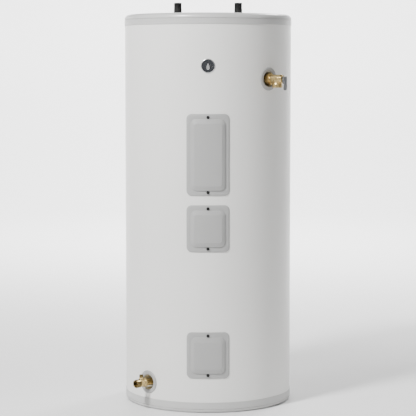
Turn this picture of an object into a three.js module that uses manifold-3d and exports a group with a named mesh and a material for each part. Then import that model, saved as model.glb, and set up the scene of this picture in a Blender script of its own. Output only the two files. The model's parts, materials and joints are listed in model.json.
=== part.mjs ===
// Electric tank water heater, 190 litres (50 US gallons), in millimetres, +Z up, front towards -Y.
// The origin is the centre of the base pan's underside, where the heater stands on the floor.
import * as THREE from "three";
import { mergeVertices } from "three/addons/utils/BufferGeometryUtils.js";
import { LoftGeometry } from "three/addons/geometries/LoftGeometry.js";
import Module from "manifold-3d";

const wasm = await Module();
wasm.setup();

// ---------------------------------------------------------------- driving dimensions

const gap = 0.3; // clearance left between pieces that touch
const roundSteps = 48; // facets round the jacket, the lid and the pan
const innerSteps = 24; // facets round the tank and the foam

// Jacket, lid and base pan
const jacketRadius = 279.5;
const bodyHeight = 1300;
const sheet = 1.0;
const lidBand = 20.4; // height of the lid's straight skirt
const lidCorner = 16; // radius of the lid's rounded edge
const lidRimWidth = 7; // flat rim between the rounded edge and the sunk deck
const lidSink = 4; // how far the deck lies below the rim
const panHeight = 34.5;
const panCorner = 11;
const panSheet = 1.2;
const jacketOverlap = 16; // how far the jacket reaches into the lid and the pan

// Pressure vessel
const tankRadius = 228.5;
const tankWall = 2.5;
const crownSpace = 63; // from the top of the upper head to the top of the body
const headRise = 52;
const headFlange = 20; // straight flange of a head, lapped inside the shell
const lowerHeadBase = 50; // height at which the lower head starts to dome

// Pipe work. Threads are modelled as plain cylinders at their outside diameter.
const pipeRadius = 13.35; // 3/4 inch pipe
const pipeWall = 3.0;
const nippleSpacing = 203.2;
const nippleStandout = 41; // above the body
const nippleLength = 101.6;
const linerWall = 1.8;
const topSpud = { radius: 17, ledge: 16.6, throat: 11.5, below: 9, collar: 3 };
const sideSpud = { radius: 19, inside: 1.5, outside: 9.5 };
const dipTube = { radius: 9.5, wall: 2, end: 190 };
const anode = { x: -60, y: 120, radius: 10.7, end: 330, hexFlats: 27, hexHeight: 11 };
const anodeCapRadius = 25;
const grommet = { radius: 20, height: 2.6 };

// Heating elements
const elementSpudRadius = 22;
const elementThreadRadius = 16.4;
const elementHexFlats = 38.1;
const elementHexDepth = 8;
const elementBlock = { width: 27, height: 24, depth: 13, corner: 3 };
const elementRod = 4;
const elementHalfPitch = 9;
const elementReach = 330;
const gasketThickness = 1.6;

// Access covers and the windows behind them: width, height and their heights on the body
const coverWidth = 140;
const squareCoverHeight = 152.4;
const tallCoverHeight = 264;
const coverHeights = { lower: 190.3, upper: 604.7, control: 843.4 };
const coverEdge = { side: 4.2, end: 6.6, radius: 16.8, stand: 3 }; // chamfered rim
const coverFlange = { side: 14.5, end: 16.1, radius: 18.6 }; // inset of the raised panel's foot
const coverPanel = { side: 26.6, end: 31.6, radius: 7.4, raise: 7 }; // inset of its top
const coverWall = 1.5;
const windowInset = { side: 17, end: 17, radius: 9 };
const screwInset = 11;
const screw = { head: 4.4, headHeight: 2.4, washer: 5.2, washerHeight: 0.8, shank: 1.9, length: 9 };

// Thermostats behind the covers
const thermostat = { width: 46, height: 62, depth: 20 };
const highLimitHeight = 48;
const dial = { radius: 9, height: 3, shaft: 3, sunk: 5, dropFromCentre: 12 };
const resetButton = { radius: 4.5, standout: 3.5, sunk: 4.5, travel: 2.5 };
const bracketSheet = 0.8;
const bracketLip = 4;
const elementHeights = { lower: 158, upper: 590 };
const thermostatHeights = { lower: 219, upper: 790 };
const harness = { radius: 5, slack: 2, edgeClearance: 8, boxX: 30, wallClearance: 7 };

// Junction box in the lid
const junction = { width: 76, depth: 48, height: 38, wall: 1.2, leadInset: 12 };
const junctionCover = { width: 80, depth: 54, knockout: 11, knockoutX: 16, screwX: -29 };
const conduitSeat = { radius: 16, height: 0.6 }; // raised ring round the knockout
const wireHole = { left: -22, right: 32, depth: 36 };
const groundScrew = { x: -55, behind: 5 }; // from the junction box's middle

// Trim
const badge = { radius: 22.8, thickness: 2, z: 1129 };
const escutcheon = { outer: 38, inner: 25, thickness: 2.5 };

// Temperature and pressure relief valve: stations are distances from the tank's axis
const relief = {
  angle: 45,
  z: 1087,
  hexFlats: 33,
  hexStart: jacketRadius - 5.5,
  hexEnd: jacketRadius + 12.5,
  neck: 12.6,
  barrel: 14.4,
  barrelStart: jacketRadius + 17.5,
  barrelEnd: jacketRadius + 53.5,
  seat: jacketRadius + 26.5,
  seatBore: 7,
  inletBore: 9,
  chamber: 11.4,
  outletAt: jacketRadius + 38,
  outletBore: 10.2,
  outletNeck: 14,
  socketBore: 13.3,
  socketDepth: 12,
  collar: 16.5,
  collarHeight: 11.7,
  outletReach: 28,
};
const bonnet = { insert: 4, inner: 8.6, end: jacketRadius + 63.5, roof: 4 };
const stem = {
  probeStart: tankRadius - 86.5,
  probe: 3.5,
  disc: 9.5,
  discDepth: 3,
  rod: 2.4,
  head: 3.4,
  overPin: 3.5,
};
const leverPin = { radius: 1.5, overCap: 5.3, head: 2.6, headHeight: 1.2 };
const lever = {
  cheekGap: 4.8,
  sheet: 1.5,
  lift: 3.5,
  drop: 35.5,
  topReach: 3.8,
  tipHalfWidth: 7.5,
  tipTuck: 1,
};
const spring = { radius: 6.4, wire: 1.0, turns: 5 };

// Drain valve: stations are distances from the tank's axis
const drain = {
  angle: -45,
  z: 88,
  neck: 11.5,
  hexFlats: 27,
  hexStart: jacketRadius + 12.5,
  hexEnd: jacketRadius + 20.5,
  barrel: 12.6,
  stemAt: jacketRadius + 31.5,
  barrelEnd: jacketRadius + 39.5,
  hoseThread: 13.5,
  end: jacketRadius + 57,
  bore: 6.6,
  mouthBore: 9.5,
  mouthDepth: 9,
  ball: 9.4,
  bossRadius: 8,
  bossTop: 15,
  nutFlats: 13,
  nutHeight: 4,
  knob: 6.5,
  knobHeight: 9,
  shaft: 2.8,
};

// ---------------------------------------------------------------- sizes that follow

const coatRadius = jacketRadius + gap + sheet; // outside of the lid and of the pan
const jacketInner = jacketRadius - sheet;
const lidSeam = bodyHeight - lidCorner - lidBand;
const lidDeck = bodyHeight - lidSink;
const lidUnder = lidDeck - sheet;
const lidRimInner = coatRadius - lidCorner - lidRimWidth;
const shellInner = tankRadius - tankWall;
const shellBottom = panSheet + gap;
const tankTop = bodyHeight - crownSpace;
const shellTop = tankTop - headRise;
const headRadius = shellInner - gap;
const nippleTop = bodyHeight + nippleStandout;
const nippleBottom = nippleTop - nippleLength;
const spudTop = nippleBottom + topSpud.ledge - gap;
const ledgeHeight = spudTop - topSpud.ledge - topSpud.collar; // it carries the dip tube's collar
const sideSpudInner = shellInner - sideSpud.inside;
const sideSpudOuter = tankRadius + sideSpud.outside;
const harnessX = coverWidth / 2 - windowInset.side - harness.edgeClearance;
const harnessY = -Math.sqrt((tankRadius + harness.wallClearance) ** 2 - harnessX ** 2) - 1;
const junctionY = harnessY + junction.leadInset;
const groundY = junctionY + groundScrew.behind;
const thermostatBack = tankRadius + 0.5;
const thermostatFront = thermostatBack + thermostat.depth;
const pinStation = bonnet.end + leverPin.overCap;

// ---------------------------------------------------------------- materials

const paint = (color, roughness, metalness) =>
  new THREE.MeshStandardMaterial({ color, roughness, metalness });
const materials = {
  jacket: paint(0xeceae4, 0.38, 0.1),
  cover: paint(0xb2b2b0, 0.5, 0.0),
  trimPaint: paint(0xbcbcba, 0.4, 0.1),
  steel: paint(0x8d8f90, 0.45, 0.9),
  blackSteel: paint(0x2b2a29, 0.5, 0.6),
  zinc: paint(0xb9bcbd, 0.35, 0.9),
  brass: paint(0xb08d4f, 0.32, 0.95),
  enamel: paint(0x24364a, 0.25, 0.1),
  foam: paint(0xdad4bf, 0.9, 0.0),
  rubber: paint(0x1c1c1c, 0.8, 0.0),
  redPlastic: paint(0xb3261e, 0.45, 0.0),
  bluePlastic: paint(0x1f4e9c, 0.45, 0.0),
  whitePlastic: paint(0xdedad0, 0.5, 0.0),
  blackPlastic: paint(0x1a1a1c, 0.45, 0.0),
  magnesium: paint(0x9c9d9b, 0.6, 0.8),
  trim: paint(0x2a2c30, 0.3, 0.2),
};

// ---------------------------------------------------------------- solid tools

// A geometry as a manifold-3d solid, for joining and cutting.
function solidOf(geometry) {
  const bare = new THREE.BufferGeometry();
  bare.setAttribute("position", geometry.getAttribute("position"));
  bare.setIndex(geometry.index);
  const merged = mergeVertices(bare, 1e-4);
  return new wasm.Manifold(
    new wasm.Mesh({
      numProp: 3,
      vertProperties: merged.attributes.position.array,
      triVerts: new Uint32Array(merged.index.array),
    }),
  );
}

function geometryOf(solid) {
  const mesh = solid.getMesh();
  const geometry = new THREE.BufferGeometry();
  geometry.setAttribute("position", new THREE.BufferAttribute(mesh.vertProperties, 3));
  geometry.setIndex(new THREE.BufferAttribute(mesh.triVerts, 1));
  return geometry;
}

const join = (first, ...others) =>
  geometryOf(others.reduce((sum, next) => sum.add(solidOf(next)), solidOf(first)));

const cut = (first, ...tools) =>
  geometryOf(tools.reduce((left, tool) => left.subtract(solidOf(tool)), solidOf(first)));

// ---------------------------------------------------------------- shapes

// A profile of [radius, height] points turned about Z.
function turned(profile, steps = 16) {
  const points = profile.map(([r, z]) => new THREE.Vector2(r, z));
  const closed = points[0].x > 0 || points.at(-1).x > 0;
  if (THREE.ShapeUtils.isClockWise(points)) points.reverse();
  if (closed) points.push(points[0].clone());
  return new THREE.LatheGeometry(points, steps).rotateX(Math.PI / 2);
}

const rod = (radius, from, to, steps = 16) =>
  turned([[0, from], [radius, from], [radius, to], [0, to]], steps);

const tube = (inner, outer, from, to, steps = 16) =>
  turned([[inner, from], [outer, from], [outer, to], [inner, to]], steps);

// A hexagonal bar along Z, with flats the given distance apart and a flat facing +Y.
const hexBar = (flats, from, to) =>
  rod(flats / Math.sqrt(3), from, to, 6).rotateZ(Math.PI / 6);

const block = (width, height, depth, x = 0, y = 0, z = 0) =>
  new THREE.BoxGeometry(width, height, depth).translate(x, y, z);

// Points of a quarter ellipse from [radius, base] up to [0, base + rise].
function domeProfile(radius, rise, base, steps = 5) {
  return Array.from({ length: steps + 1 }, (_, i) => {
    const angle = (Math.PI / 2) * (i / steps);
    return [i === steps ? 0 : radius * Math.cos(angle), base + rise * Math.sin(angle)];
  });
}

// Points of an arc, in degrees, about [centreR, centreZ].
function arcProfile(centreR, centreZ, radius, from, to, steps = 3) {
  return Array.from({ length: steps + 1 }, (_, i) => {
    const angle = THREE.MathUtils.degToRad(from + ((to - from) * i) / steps);
    return [centreR + radius * Math.cos(angle), centreZ + radius * Math.sin(angle)];
  });
}

// A rounded rectangle as a ring of points, its long level edges divided so that it can be bent.
function roundedOutline(halfWidth, halfHeight, radius, cornerSteps = 3, levelSteps = 4) {
  const ring = [];
  const corners = [[1, -1, -90], [1, 1, 0], [-1, 1, 90], [-1, -1, 180]];
  corners.forEach(([sx, sy, start], index) => {
    for (let i = 0; i <= cornerSteps; i++) {
      const angle = THREE.MathUtils.degToRad(start + (90 * i) / cornerSteps);
      ring.push([
        sx * (halfWidth - radius) + radius * Math.cos(angle),
        sy * (halfHeight - radius) + radius * Math.sin(angle),
      ]);
    }
    if (index % 2 === 0) return;
    for (let i = 1; i < levelSteps; i++)
      ring.push([sx * (halfWidth - radius) * (1 - (2 * i) / levelSteps), sy * halfHeight]);
  });
  return ring;
}

const circleOutline = (radius, steps = 24) =>
  Array.from({ length: steps }, (_, i) => {
    const angle = (2 * Math.PI * i) / steps;
    return [radius * Math.cos(angle), radius * Math.sin(angle)];
  });

const scaled = (outline, kx, ky) => outline.map(([x, y]) => [x * kx, y * ky]);

// Lofts outlines that lie on the jacket, each [outline, stand-off], into a solid bent round it.
// It is in a wall group's own frame: x along the wall, y up, z out from the heater's axis.
function wrapped(layers) {
  const sections = layers.map(([outline, stand]) =>
    outline.map(([x, y]) => {
      const angle = x / jacketRadius;
      const radius = jacketRadius + stand;
      return new THREE.Vector3(radius * Math.sin(angle), y, radius * Math.cos(angle));
    }),
  );
  return new LoftGeometry(sections);
}

// The layers that close an outline at one stand-off, narrowing to an upright line.
const closing = (outline, stand) =>
  [0, 0.35, 0.7].map((k) => [scaled(outline, k, 0.9 + 0.1 * k), stand]);

// An extruded tube of the given radius along a curve.
function swept(curve, radius, steps, sides = 8) {
  const section = new THREE.Shape(
    circleOutline(radius, sides).map(([x, y]) => new THREE.Vector2(x, y)),
  );
  return new THREE.ExtrudeGeometry(section, { steps, extrudePath: curve, bevelEnabled: false });
}

// ---------------------------------------------------------------- the assembly

const heater = new THREE.Group();

function add(parent, name, geometry, material) {
  const mesh = new THREE.Mesh(geometry, material);
  mesh.name = name;
  parent.add(mesh);
  return mesh;
}

// A frame on the heater's axis: x along the wall, y up, z out of the wall at the given angle,
// which is counted from the front towards the right-hand side.
function wallGroup(angle, z) {
  const group = new THREE.Group();
  group.rotation.set(Math.PI / 2, 0, THREE.MathUtils.degToRad(angle), "ZXY");
  group.position.z = z;
  heater.add(group);
  return group;
}

// A tool made in a wall group's frame, moved to where it cuts the body.
function onWall(geometry, angle, z) {
  const euler = new THREE.Euler(Math.PI / 2, 0, THREE.MathUtils.degToRad(angle), "ZXY");
  return geometry
    .applyMatrix4(new THREE.Matrix4().makeRotationFromEuler(euler))
    .translate(0, 0, z);
}

const covers = [
  { name: "lower_element_cover", z: coverHeights.lower, height: squareCoverHeight },
  { name: "upper_element_cover", z: coverHeights.upper, height: squareCoverHeight },
  { name: "control_cover", z: coverHeights.control, height: tallCoverHeight },
];
const topPorts = [
  { name: "hot_outlet", x: -nippleSpacing / 2, y: 0, lidHole: grommet.radius - 4 },
  { name: "cold_inlet", x: nippleSpacing / 2, y: 0, lidHole: grommet.radius - 4 },
  { name: "anode", x: anode.x, y: anode.y, lidHole: anodeCapRadius - 3 },
];

// ---------------------------------------------------------------- jacket, lid, pan, foam

function windowTool(cover, from, to, grow = 0) {
  const halfWidth = coverWidth / 2 - windowInset.side + grow;
  const halfHeight = cover.height / 2 - windowInset.end + grow;
  const shape = new THREE.Shape(
    roundedOutline(halfWidth, halfHeight, windowInset.radius, 2, 1).map(
      ([x, y]) => new THREE.Vector2(x, y),
    ),
  );
  const bar = new THREE.ExtrudeGeometry(shape, { depth: to - from, bevelEnabled: false });
  return onWall(bar.translate(0, 0, from), 0, cover.z);
}

const screwHoles = (radius, from, to) =>
  covers.flatMap((cover) =>
    [-1, 1].map((side) =>
      onWall(rod(radius, from, to, 8), 0, cover.z + side * (cover.height / 2 - screwInset)),
    ),
  );

function makeJacket() {
  const bottom = panHeight - jacketOverlap;
  const top = lidSeam + jacketOverlap;
  const wall = tube(jacketInner, jacketRadius, bottom, top, roundSteps);
  const reach = [jacketInner - 20, jacketRadius + 20];
  return cut(
    wall,
    ...covers.map((cover) => windowTool(cover, ...reach)),
    ...screwHoles(screw.shank + gap, ...reach),
    onWall(rod(escutcheon.inner, ...reach, 16), relief.angle, relief.z),
    onWall(rod(escutcheon.inner, ...reach, 16), drain.angle, drain.z),
  );
}

function makeLid() {
  const bend = coatRadius - lidCorner;
  const profile = [
    [0, lidUnder],
    [lidRimInner - 2 - sheet, lidUnder],
    [lidRimInner - sheet, bodyHeight - sheet],
    ...arcProfile(bend, bodyHeight - lidCorner, lidCorner - sheet, 90, 0),
    [coatRadius - sheet, lidSeam],
    [coatRadius, lidSeam],
    ...arcProfile(bend, bodyHeight - lidCorner, lidCorner, 0, 90),
    [lidRimInner, bodyHeight],
    [lidRimInner - 2, lidDeck],
    [0, lidDeck],
  ];
  const through = [lidUnder - 5, lidDeck + 5];
  const portHoles = topPorts.map((port) =>
    rod(port.lidHole, ...through, 16).translate(port.x, port.y, 0),
  );
  const screwHole = rod(screw.shank + gap, ...through, 8);
  return cut(
    turned(profile, roundSteps),
    ...portHoles,
    block(wireHole.right - wireHole.left, wireHole.depth, 20,
      (wireHole.right + wireHole.left) / 2, junctionY, lidDeck),
    screwHole.clone().translate(junctionCover.screwX, junctionY, 0),
    screwHole.clone().translate(groundScrew.x, groundY, 0),
  );
}

function makePan() {
  const bend = coatRadius - panCorner;
  return turned(
    [
      [0, 0],
      ...arcProfile(bend, panCorner, panCorner, -90, 0, 3),
      [coatRadius, panHeight],
      [coatRadius - sheet, panHeight],
      ...arcProfile(bend, panCorner, panCorner - sheet, 0, -90, 3).slice(0, -1),
      [bend, panSheet],
      [0, panSheet],
    ],
    roundSteps,
  );
}

function makeFoam() {
  const outer = jacketInner - gap;
  const inner = tankRadius + gap;
  const bottom = panCorner + 4;
  const roof = lidUnder - gap;
  const profile = [
    ...domeProfile(inner, headRise + gap, shellTop + gap).reverse(),
    [inner, bottom],
    [outer, bottom],
    [outer, bodyHeight - lidCorner - 2],
    [coatRadius - lidCorner, roof],
    [0, roof],
  ];
  const bays = covers.map((cover) => windowTool(cover, tankRadius - 40, jacketRadius + 20, 2));
  const portHoles = topPorts.map((port) =>
    rod(Math.max(port.lidHole, topSpud.radius) + 1.5, shellTop, roof + 5, 16).translate(port.x, port.y, 0),
  );
  const boxPocket = block(
    junction.width + 1, junction.depth + 1, junction.height + 20,
    0, junctionY, lidUnder - junction.height / 2 + 8);
  const channel = (x, from, to) =>
    rod(harness.radius + harness.slack, from, to, 12).translate(x, harnessY, 0);
  const valveTunnel = (valve) =>
    onWall(rod(escutcheon.inner - 1, tankRadius - 20, jacketInner + 5, 16), valve.angle, valve.z);
  return cut(
    turned(profile, innerSteps),
    ...bays,
    ...portHoles,
    boxPocket,
    channel(harnessX, coverHeights.lower, coverHeights.control),
    channel(harness.boxX, coverHeights.control, roof - 10),
    rod(screw.shank + 0.6, roof - 12, roof + 5, 8).translate(groundScrew.x, groundY, 0),
    ...screwHoles(screw.shank + 0.6, jacketInner - 14, jacketInner + 2),
    valveTunnel(relief),
    valveTunnel(drain),
  );
}

add(heater, "jacket", makeJacket(), materials.jacket);
add(heater, "top_cover", makeLid(), materials.trimPaint);
add(heater, "base_pan", makePan(), materials.trimPaint);
add(heater, "foam_insulation", makeFoam(), materials.foam);

// ---------------------------------------------------------------- tank

// Height of the upper head's outside at a distance from the axis.
const headHeight = (r) => shellTop + headRise * Math.sqrt(1 - (r / headRadius) ** 2);

function makeShell() {
  const wall = tube(shellInner, tankRadius, shellBottom, shellTop, innerSteps);
  const spuds = [
    { radius: elementSpudRadius, bore: elementThreadRadius, angle: 0, z: elementHeights.lower },
    { radius: elementSpudRadius, bore: elementThreadRadius, angle: 0, z: elementHeights.upper },
    { radius: sideSpud.radius, bore: pipeRadius, angle: relief.angle, z: relief.z },
    { radius: sideSpud.radius, bore: pipeRadius, angle: drain.angle, z: drain.z },
  ];
  const welded = join(
    wall,
    ...spuds.map(({ radius, angle, z }) =>
      onWall(rod(radius, sideSpudInner, sideSpudOuter, 16), angle, z)),
  );
  return cut(
    welded,
    ...spuds.map(({ bore, angle, z }) =>
      onWall(rod(bore + gap, sideSpudInner - 20, sideSpudOuter + 5, 16), angle, z)),
  );
}

function makeTopHead() {
  const flange = shellTop - headFlange;
  const head = turned(
    [
      ...domeProfile(headRadius - tankWall, headRise - tankWall, shellTop).reverse(),
      [headRadius - tankWall, flange],
      [headRadius, flange],
      ...domeProfile(headRadius, headRise, shellTop),
    ],
    innerSteps,
  );
  const at = (port, geometry) => geometry.translate(port.x, port.y, 0);
  const spuds = topPorts.map((port) => {
    const foot = headHeight(Math.hypot(port.x, port.y)) - topSpud.below;
    return at(port, rod(topSpud.radius, foot, spudTop, 16));
  });
  const bores = topPorts.flatMap((port) => [
    at(port, rod(pipeRadius + gap, ledgeHeight, spudTop + 5, 16)),
    at(port, rod(topSpud.throat, shellTop, spudTop, 16)),
  ]);
  return cut(join(head, ...spuds), ...bores);
}

function makeBottomHead() {
  const flange = lowerHeadBase - headFlange - 5;
  return turned(
    [
      ...domeProfile(headRadius - tankWall, headRise - tankWall, lowerHeadBase).reverse(),
      [headRadius - tankWall, flange],
      [headRadius, flange],
      ...domeProfile(headRadius, headRise, lowerHeadBase),
    ],
    innerSteps,
  );
}

add(heater, "tank_shell", makeShell(), materials.enamel);
add(heater, "tank_top_head", makeTopHead(), materials.enamel);
add(heater, "tank_bottom_head", makeBottomHead(), materials.enamel);

// ---------------------------------------------------------------- pipe work on the tank's top

function makeNipple() {
  const inner = pipeRadius - pipeWall;
  return turned([
    [inner, nippleBottom],
    [pipeRadius, nippleBottom],
    [pipeRadius, nippleTop - 1.2],
    [pipeRadius - 1.2, nippleTop],
    [inner, nippleTop],
  ]);
}

function makeLiner() {
  const outer = pipeRadius - pipeWall - gap;
  return tube(outer - linerWall, outer, nippleBottom + 1, nippleTop - 2);
}

function makeGrommet() {
  const seat = lidDeck + gap;
  const neck = grommet.radius - 4 - gap;
  return turned(
    [
      [pipeRadius + gap, lidUnder - 3],
      [neck, lidUnder - 3],
      [neck, seat],
      [grommet.radius, seat],
      [grommet.radius - 1, seat + grommet.height],
      [pipeRadius + gap, seat + grommet.height],
    ],
    16,
  );
}

for (const port of topPorts.filter(({ name }) => name !== "anode")) {
  const pipe = new THREE.Group();
  pipe.position.set(port.x, port.y, 0);
  heater.add(pipe);
  const side = port.name.split("_")[0];
  add(pipe, port.name + "_nipple", makeNipple(), materials.blackSteel);
  add(pipe, side + "_nipple_liner", makeLiner(), materials.whitePlastic);
  const ringColour = side === "hot" ? materials.redPlastic : materials.bluePlastic;
  add(pipe, side + "_grommet", makeGrommet(), ringColour);
}

function makeDipTube() {
  const bore = dipTube.radius - dipTube.wall;
  return turned([
    [bore, dipTube.end],
    [dipTube.radius, dipTube.end],
    [dipTube.radius, ledgeHeight + gap],
    [pipeRadius, ledgeHeight + gap],
    [pipeRadius, ledgeHeight + topSpud.collar],
    [bore, ledgeHeight + topSpud.collar],
  ]);
}

function makeAnode() {
  const seat = spudTop + gap;
  const shaft = turned([
    [0, anode.end],
    [anode.radius, anode.end],
    [anode.radius, ledgeHeight + topSpud.collar],
    [pipeRadius, ledgeHeight + topSpud.collar],
    [pipeRadius, seat + 2],
    [0, seat + 2],
  ]);
  return join(shaft, hexBar(anode.hexFlats, seat, seat + anode.hexHeight));
}

function makeAnodeCap() {
  const seat = lidDeck + gap;
  const skirt = anodeCapRadius - 3 - gap;
  return turned(
    [
      [0, seat],
      [skirt - 2, seat],
      [skirt - 2, lidUnder - 4],
      [skirt, lidUnder - 4],
      [skirt, seat],
      [anodeCapRadius, seat],
      [anodeCapRadius - 1, seat + 2],
      [0, seat + 2],
    ],
    16,
  );
}

add(heater, "dip_tube", makeDipTube(), materials.whitePlastic).position.x = nippleSpacing / 2;
add(heater, "anode_rod", makeAnode(), materials.magnesium).position.set(anode.x, anode.y, 0);
add(heater, "anode_cap", makeAnodeCap(), materials.whitePlastic).position.set(anode.x, anode.y, 0);

// ---------------------------------------------------------------- heating elements

const hexFace = sideSpudOuter + 2 * gap + gasketThickness; // back of the element's hexagon
const hexFront = hexFace + elementHexDepth;

function makeElementHead() {
  const plug = join(
    rod(elementThreadRadius, sideSpudInner, hexFace + 1, 16),
    hexBar(elementHexFlats, hexFace, hexFront),
  );
  const sockets = [-1, 1].map((side) =>
    rod(elementRod + gap, sideSpudInner - 5, hexFace, 12).translate(side * elementHalfPitch, 0, 0),
  );
  return cut(plug, ...sockets);
}

function makeElementLoop() {
  const bendAt = tankRadius - elementReach + elementHalfPitch;
  const leg = rod(elementRod, bendAt, hexFace - gap, 8);
  class ReturnBend extends THREE.Curve {
    getPoint(t, target = new THREE.Vector3()) {
      const angle = Math.PI * t;
      return target.set(
        -elementHalfPitch * Math.cos(angle), 0, bendAt + 1 - elementHalfPitch * Math.sin(angle));
    }
  }
  return join(
    leg.clone().translate(-elementHalfPitch, 0, 0),
    leg.clone().translate(elementHalfPitch, 0, 0),
    swept(new ReturnBend(), elementRod - 0.1, 8),
  );
}

function makeTerminals() {
  const { width, height, depth, corner } = elementBlock;
  const outline = new THREE.Shape(
    roundedOutline(width / 2, height / 2, corner, 2, 1).map(([x, y]) => new THREE.Vector2(x, y)),
  );
  const base = new THREE.ExtrudeGeometry(outline, { depth, bevelEnabled: false });
  const posts = [-1, 1].map((side) => rod(3.6, depth - 2, depth + 2.4, 10).translate(side * 7, 0, 0));
  return join(base, ...posts);
}

for (const [level, z] of Object.entries(elementHeights)) {
  const group = wallGroup(0, z);
  add(group, level + "_element_head", makeElementHead(), materials.zinc);
  add(group, level + "_element_loop", makeElementLoop(), materials.steel);
  const gasket = tube(elementThreadRadius + gap, elementSpudRadius, 0, gasketThickness, 16);
  add(group, level + "_element_gasket", gasket, materials.rubber).position.z = sideSpudOuter + gap;
  const terminals = add(group, level + "_element_terminals", makeTerminals(), materials.blackPlastic);
  terminals.position.z = hexFront + gap;
}

// ---------------------------------------------------------------- thermostats

// A thermostat's case with its terminal screws and a blind hole in the front for a shaft.
function makeCase(height, terminalY, holeRadius, holeDepth, holeY) {
  const { width, depth } = thermostat;
  const base = block(width, height, depth, 0, 0, thermostatBack + depth / 2);
  const terminals = [-1, 1].map((side) =>
    rod(3.8, thermostatFront - 2, thermostatFront + 1.6, 10).translate(side * 13, terminalY, 0),
  );
  const hole = rod(holeRadius, thermostatFront - holeDepth, thermostatFront + 5, 16).translate(0, holeY, 0);
  return cut(join(base, ...terminals), hole);
}

function makeDial() {
  const face = thermostatFront + gap;
  const knob = join(
    rod(dial.radius, face, face + dial.height, 16),
    rod(dial.shaft, thermostatFront - dial.sunk, face + 1, 16),
  );
  return cut(knob, block(dial.radius * 1.5, 1.6, 2, 0, 0, face + dial.height));
}

// A sprung strap: two side arms with lips over the case's front, on a cross plate below it.
function makeBracket(bottom, top, crossFrom) {
  const back = thermostatBack + 1;
  const side = thermostat.width / 2 + gap;
  const lipFace = thermostatFront + gap;
  const arms = [-1, 1].flatMap((s) => [
    block(bracketSheet, top - crossFrom, lipFace + bracketSheet - back,
      s * (side + bracketSheet / 2), (top + crossFrom) / 2, (lipFace + bracketSheet + back) / 2),
    block(bracketLip + bracketSheet, top - bottom, bracketSheet,
      s * (side + (bracketSheet - bracketLip) / 2), (top + bottom) / 2, lipFace + bracketSheet / 2),
  ]);
  const cross = block(2 * side + 2 * bracketSheet, bottom - gap - crossFrom, bracketSheet,
    0, (bottom - gap + crossFrom) / 2, back + bracketSheet / 2);
  return { arms, cross, back };
}

function makeLowerBracket() {
  const offset = thermostatHeights.lower - elementHeights.lower;
  const { arms, cross, back } = makeBracket(
    offset - thermostat.height / 2, offset + thermostat.height / 2, elementSpudRadius - 2);
  const collar = tube(elementSpudRadius + gap, elementSpudRadius + 5, back, back + bracketSheet, 16);
  const clearance = rod(elementSpudRadius + gap, back - 5, back + 5, 16);
  return join(cut(join(cross, ...arms), clearance), collar);
}

function makeUpperBracket() {
  const half = thermostat.height / 2;
  const { arms, cross, back } = makeBracket(-half, half, -half - 10);
  return join(cross, ...arms);
}

for (const [level, z] of Object.entries(thermostatHeights)) {
  const group = wallGroup(0, z);
  const dialY = -dial.dropFromCentre;
  const hole = [dial.shaft + gap, dial.sunk + gap, dialY];
  const body = makeCase(thermostat.height, thermostat.height / 2 - 12, ...hole);
  add(group, level + "_thermostat", body, materials.blackPlastic);
  add(group, level + "_thermostat_dial", makeDial(), materials.whitePlastic).position.y = dialY;
}
add(wallGroup(0, elementHeights.lower), "lower_thermostat_bracket", makeLowerBracket(), materials.zinc);
add(wallGroup(0, thermostatHeights.upper), "upper_thermostat_bracket", makeUpperBracket(), materials.zinc);

const switchZ = thermostatHeights.upper + (thermostat.height + highLimitHeight) / 2 + 2;
const switchGroup = wallGroup(0, switchZ);
const buttonHole = resetButton.sunk + resetButton.travel + gap;
const switchHole = [resetButton.radius + gap, buttonHole, -8];
const switchCase = makeCase(highLimitHeight, highLimitHeight / 2 - 9, ...switchHole);
add(switchGroup, "high_limit_switch", switchCase, materials.blackPlastic);
const button = rod(
  resetButton.radius, thermostatFront - resetButton.sunk, thermostatFront + resetButton.standout, 16);
add(switchGroup, "reset_button", button, materials.redPlastic).position.y = -8;

// ---------------------------------------------------------------- wiring

function makeLead(points, steps) {
  const curve = new THREE.CatmullRomCurve3(points.map((point) => new THREE.Vector3(...point)));
  return swept(curve, harness.radius, steps, 6);
}

const boxFloor = lidUnder - gap - junction.height;
const leadDepth = -(thermostatBack + thermostat.depth / 2);
const switchTop = switchZ + highLimitHeight / 2;
const upperLead = makeLead(
  [
    [harness.boxX, harnessY, boxFloor + 14],
    [harness.boxX, harnessY, boxFloor - 40],
    [harness.boxX, harnessY, (boxFloor + switchTop) / 2 + 60],
    [harness.boxX, harnessY, switchTop + 110],
    [harness.boxX - 3, harnessY - 1, switchTop + 80],
    [17, (harnessY + leadDepth) / 2, switchTop + 30],
    [14, leadDepth, switchTop + 10],
    [14, leadDepth, switchTop + gap],
  ],
  30,
);
add(heater, "upper_harness", upperLead, materials.rubber);

const thermostatFoot = thermostatHeights.upper - thermostat.height / 2;
const bayRoof = coverHeights.lower + squareCoverHeight / 2 - windowInset.end;
const runTop = thermostatFoot - 60;
const runBottom = bayRoof - 10;
const downTheWall = [0, 0.2, 0.4, 0.6, 0.8, 1].map((share) => [
  harnessX, harnessY, runTop + (runBottom - runTop) * share,
]);
const lowerLead = makeLead(
  [
    [10, leadDepth, thermostatFoot - 2 * gap],
    [10, leadDepth, thermostatFoot - 7],
    [14, leadDepth, thermostatFoot - 13],
    [harnessX - 6, harnessY - 1, thermostatFoot - 24],
    [harnessX, harnessY, thermostatFoot - 34],
    ...downTheWall,
    [harnessX - 6, harnessY - 2, bayRoof - 30],
    [thermostat.width / 2 + 10, leadDepth + 2, bayRoof - 40],
    [thermostat.width / 2 + bracketSheet + 2.5, leadDepth + 2, bayRoof - 42],
  ],
  44,
);
add(heater, "lower_harness", lowerLead, materials.rubber);

// ---------------------------------------------------------------- access covers and their screws

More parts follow.
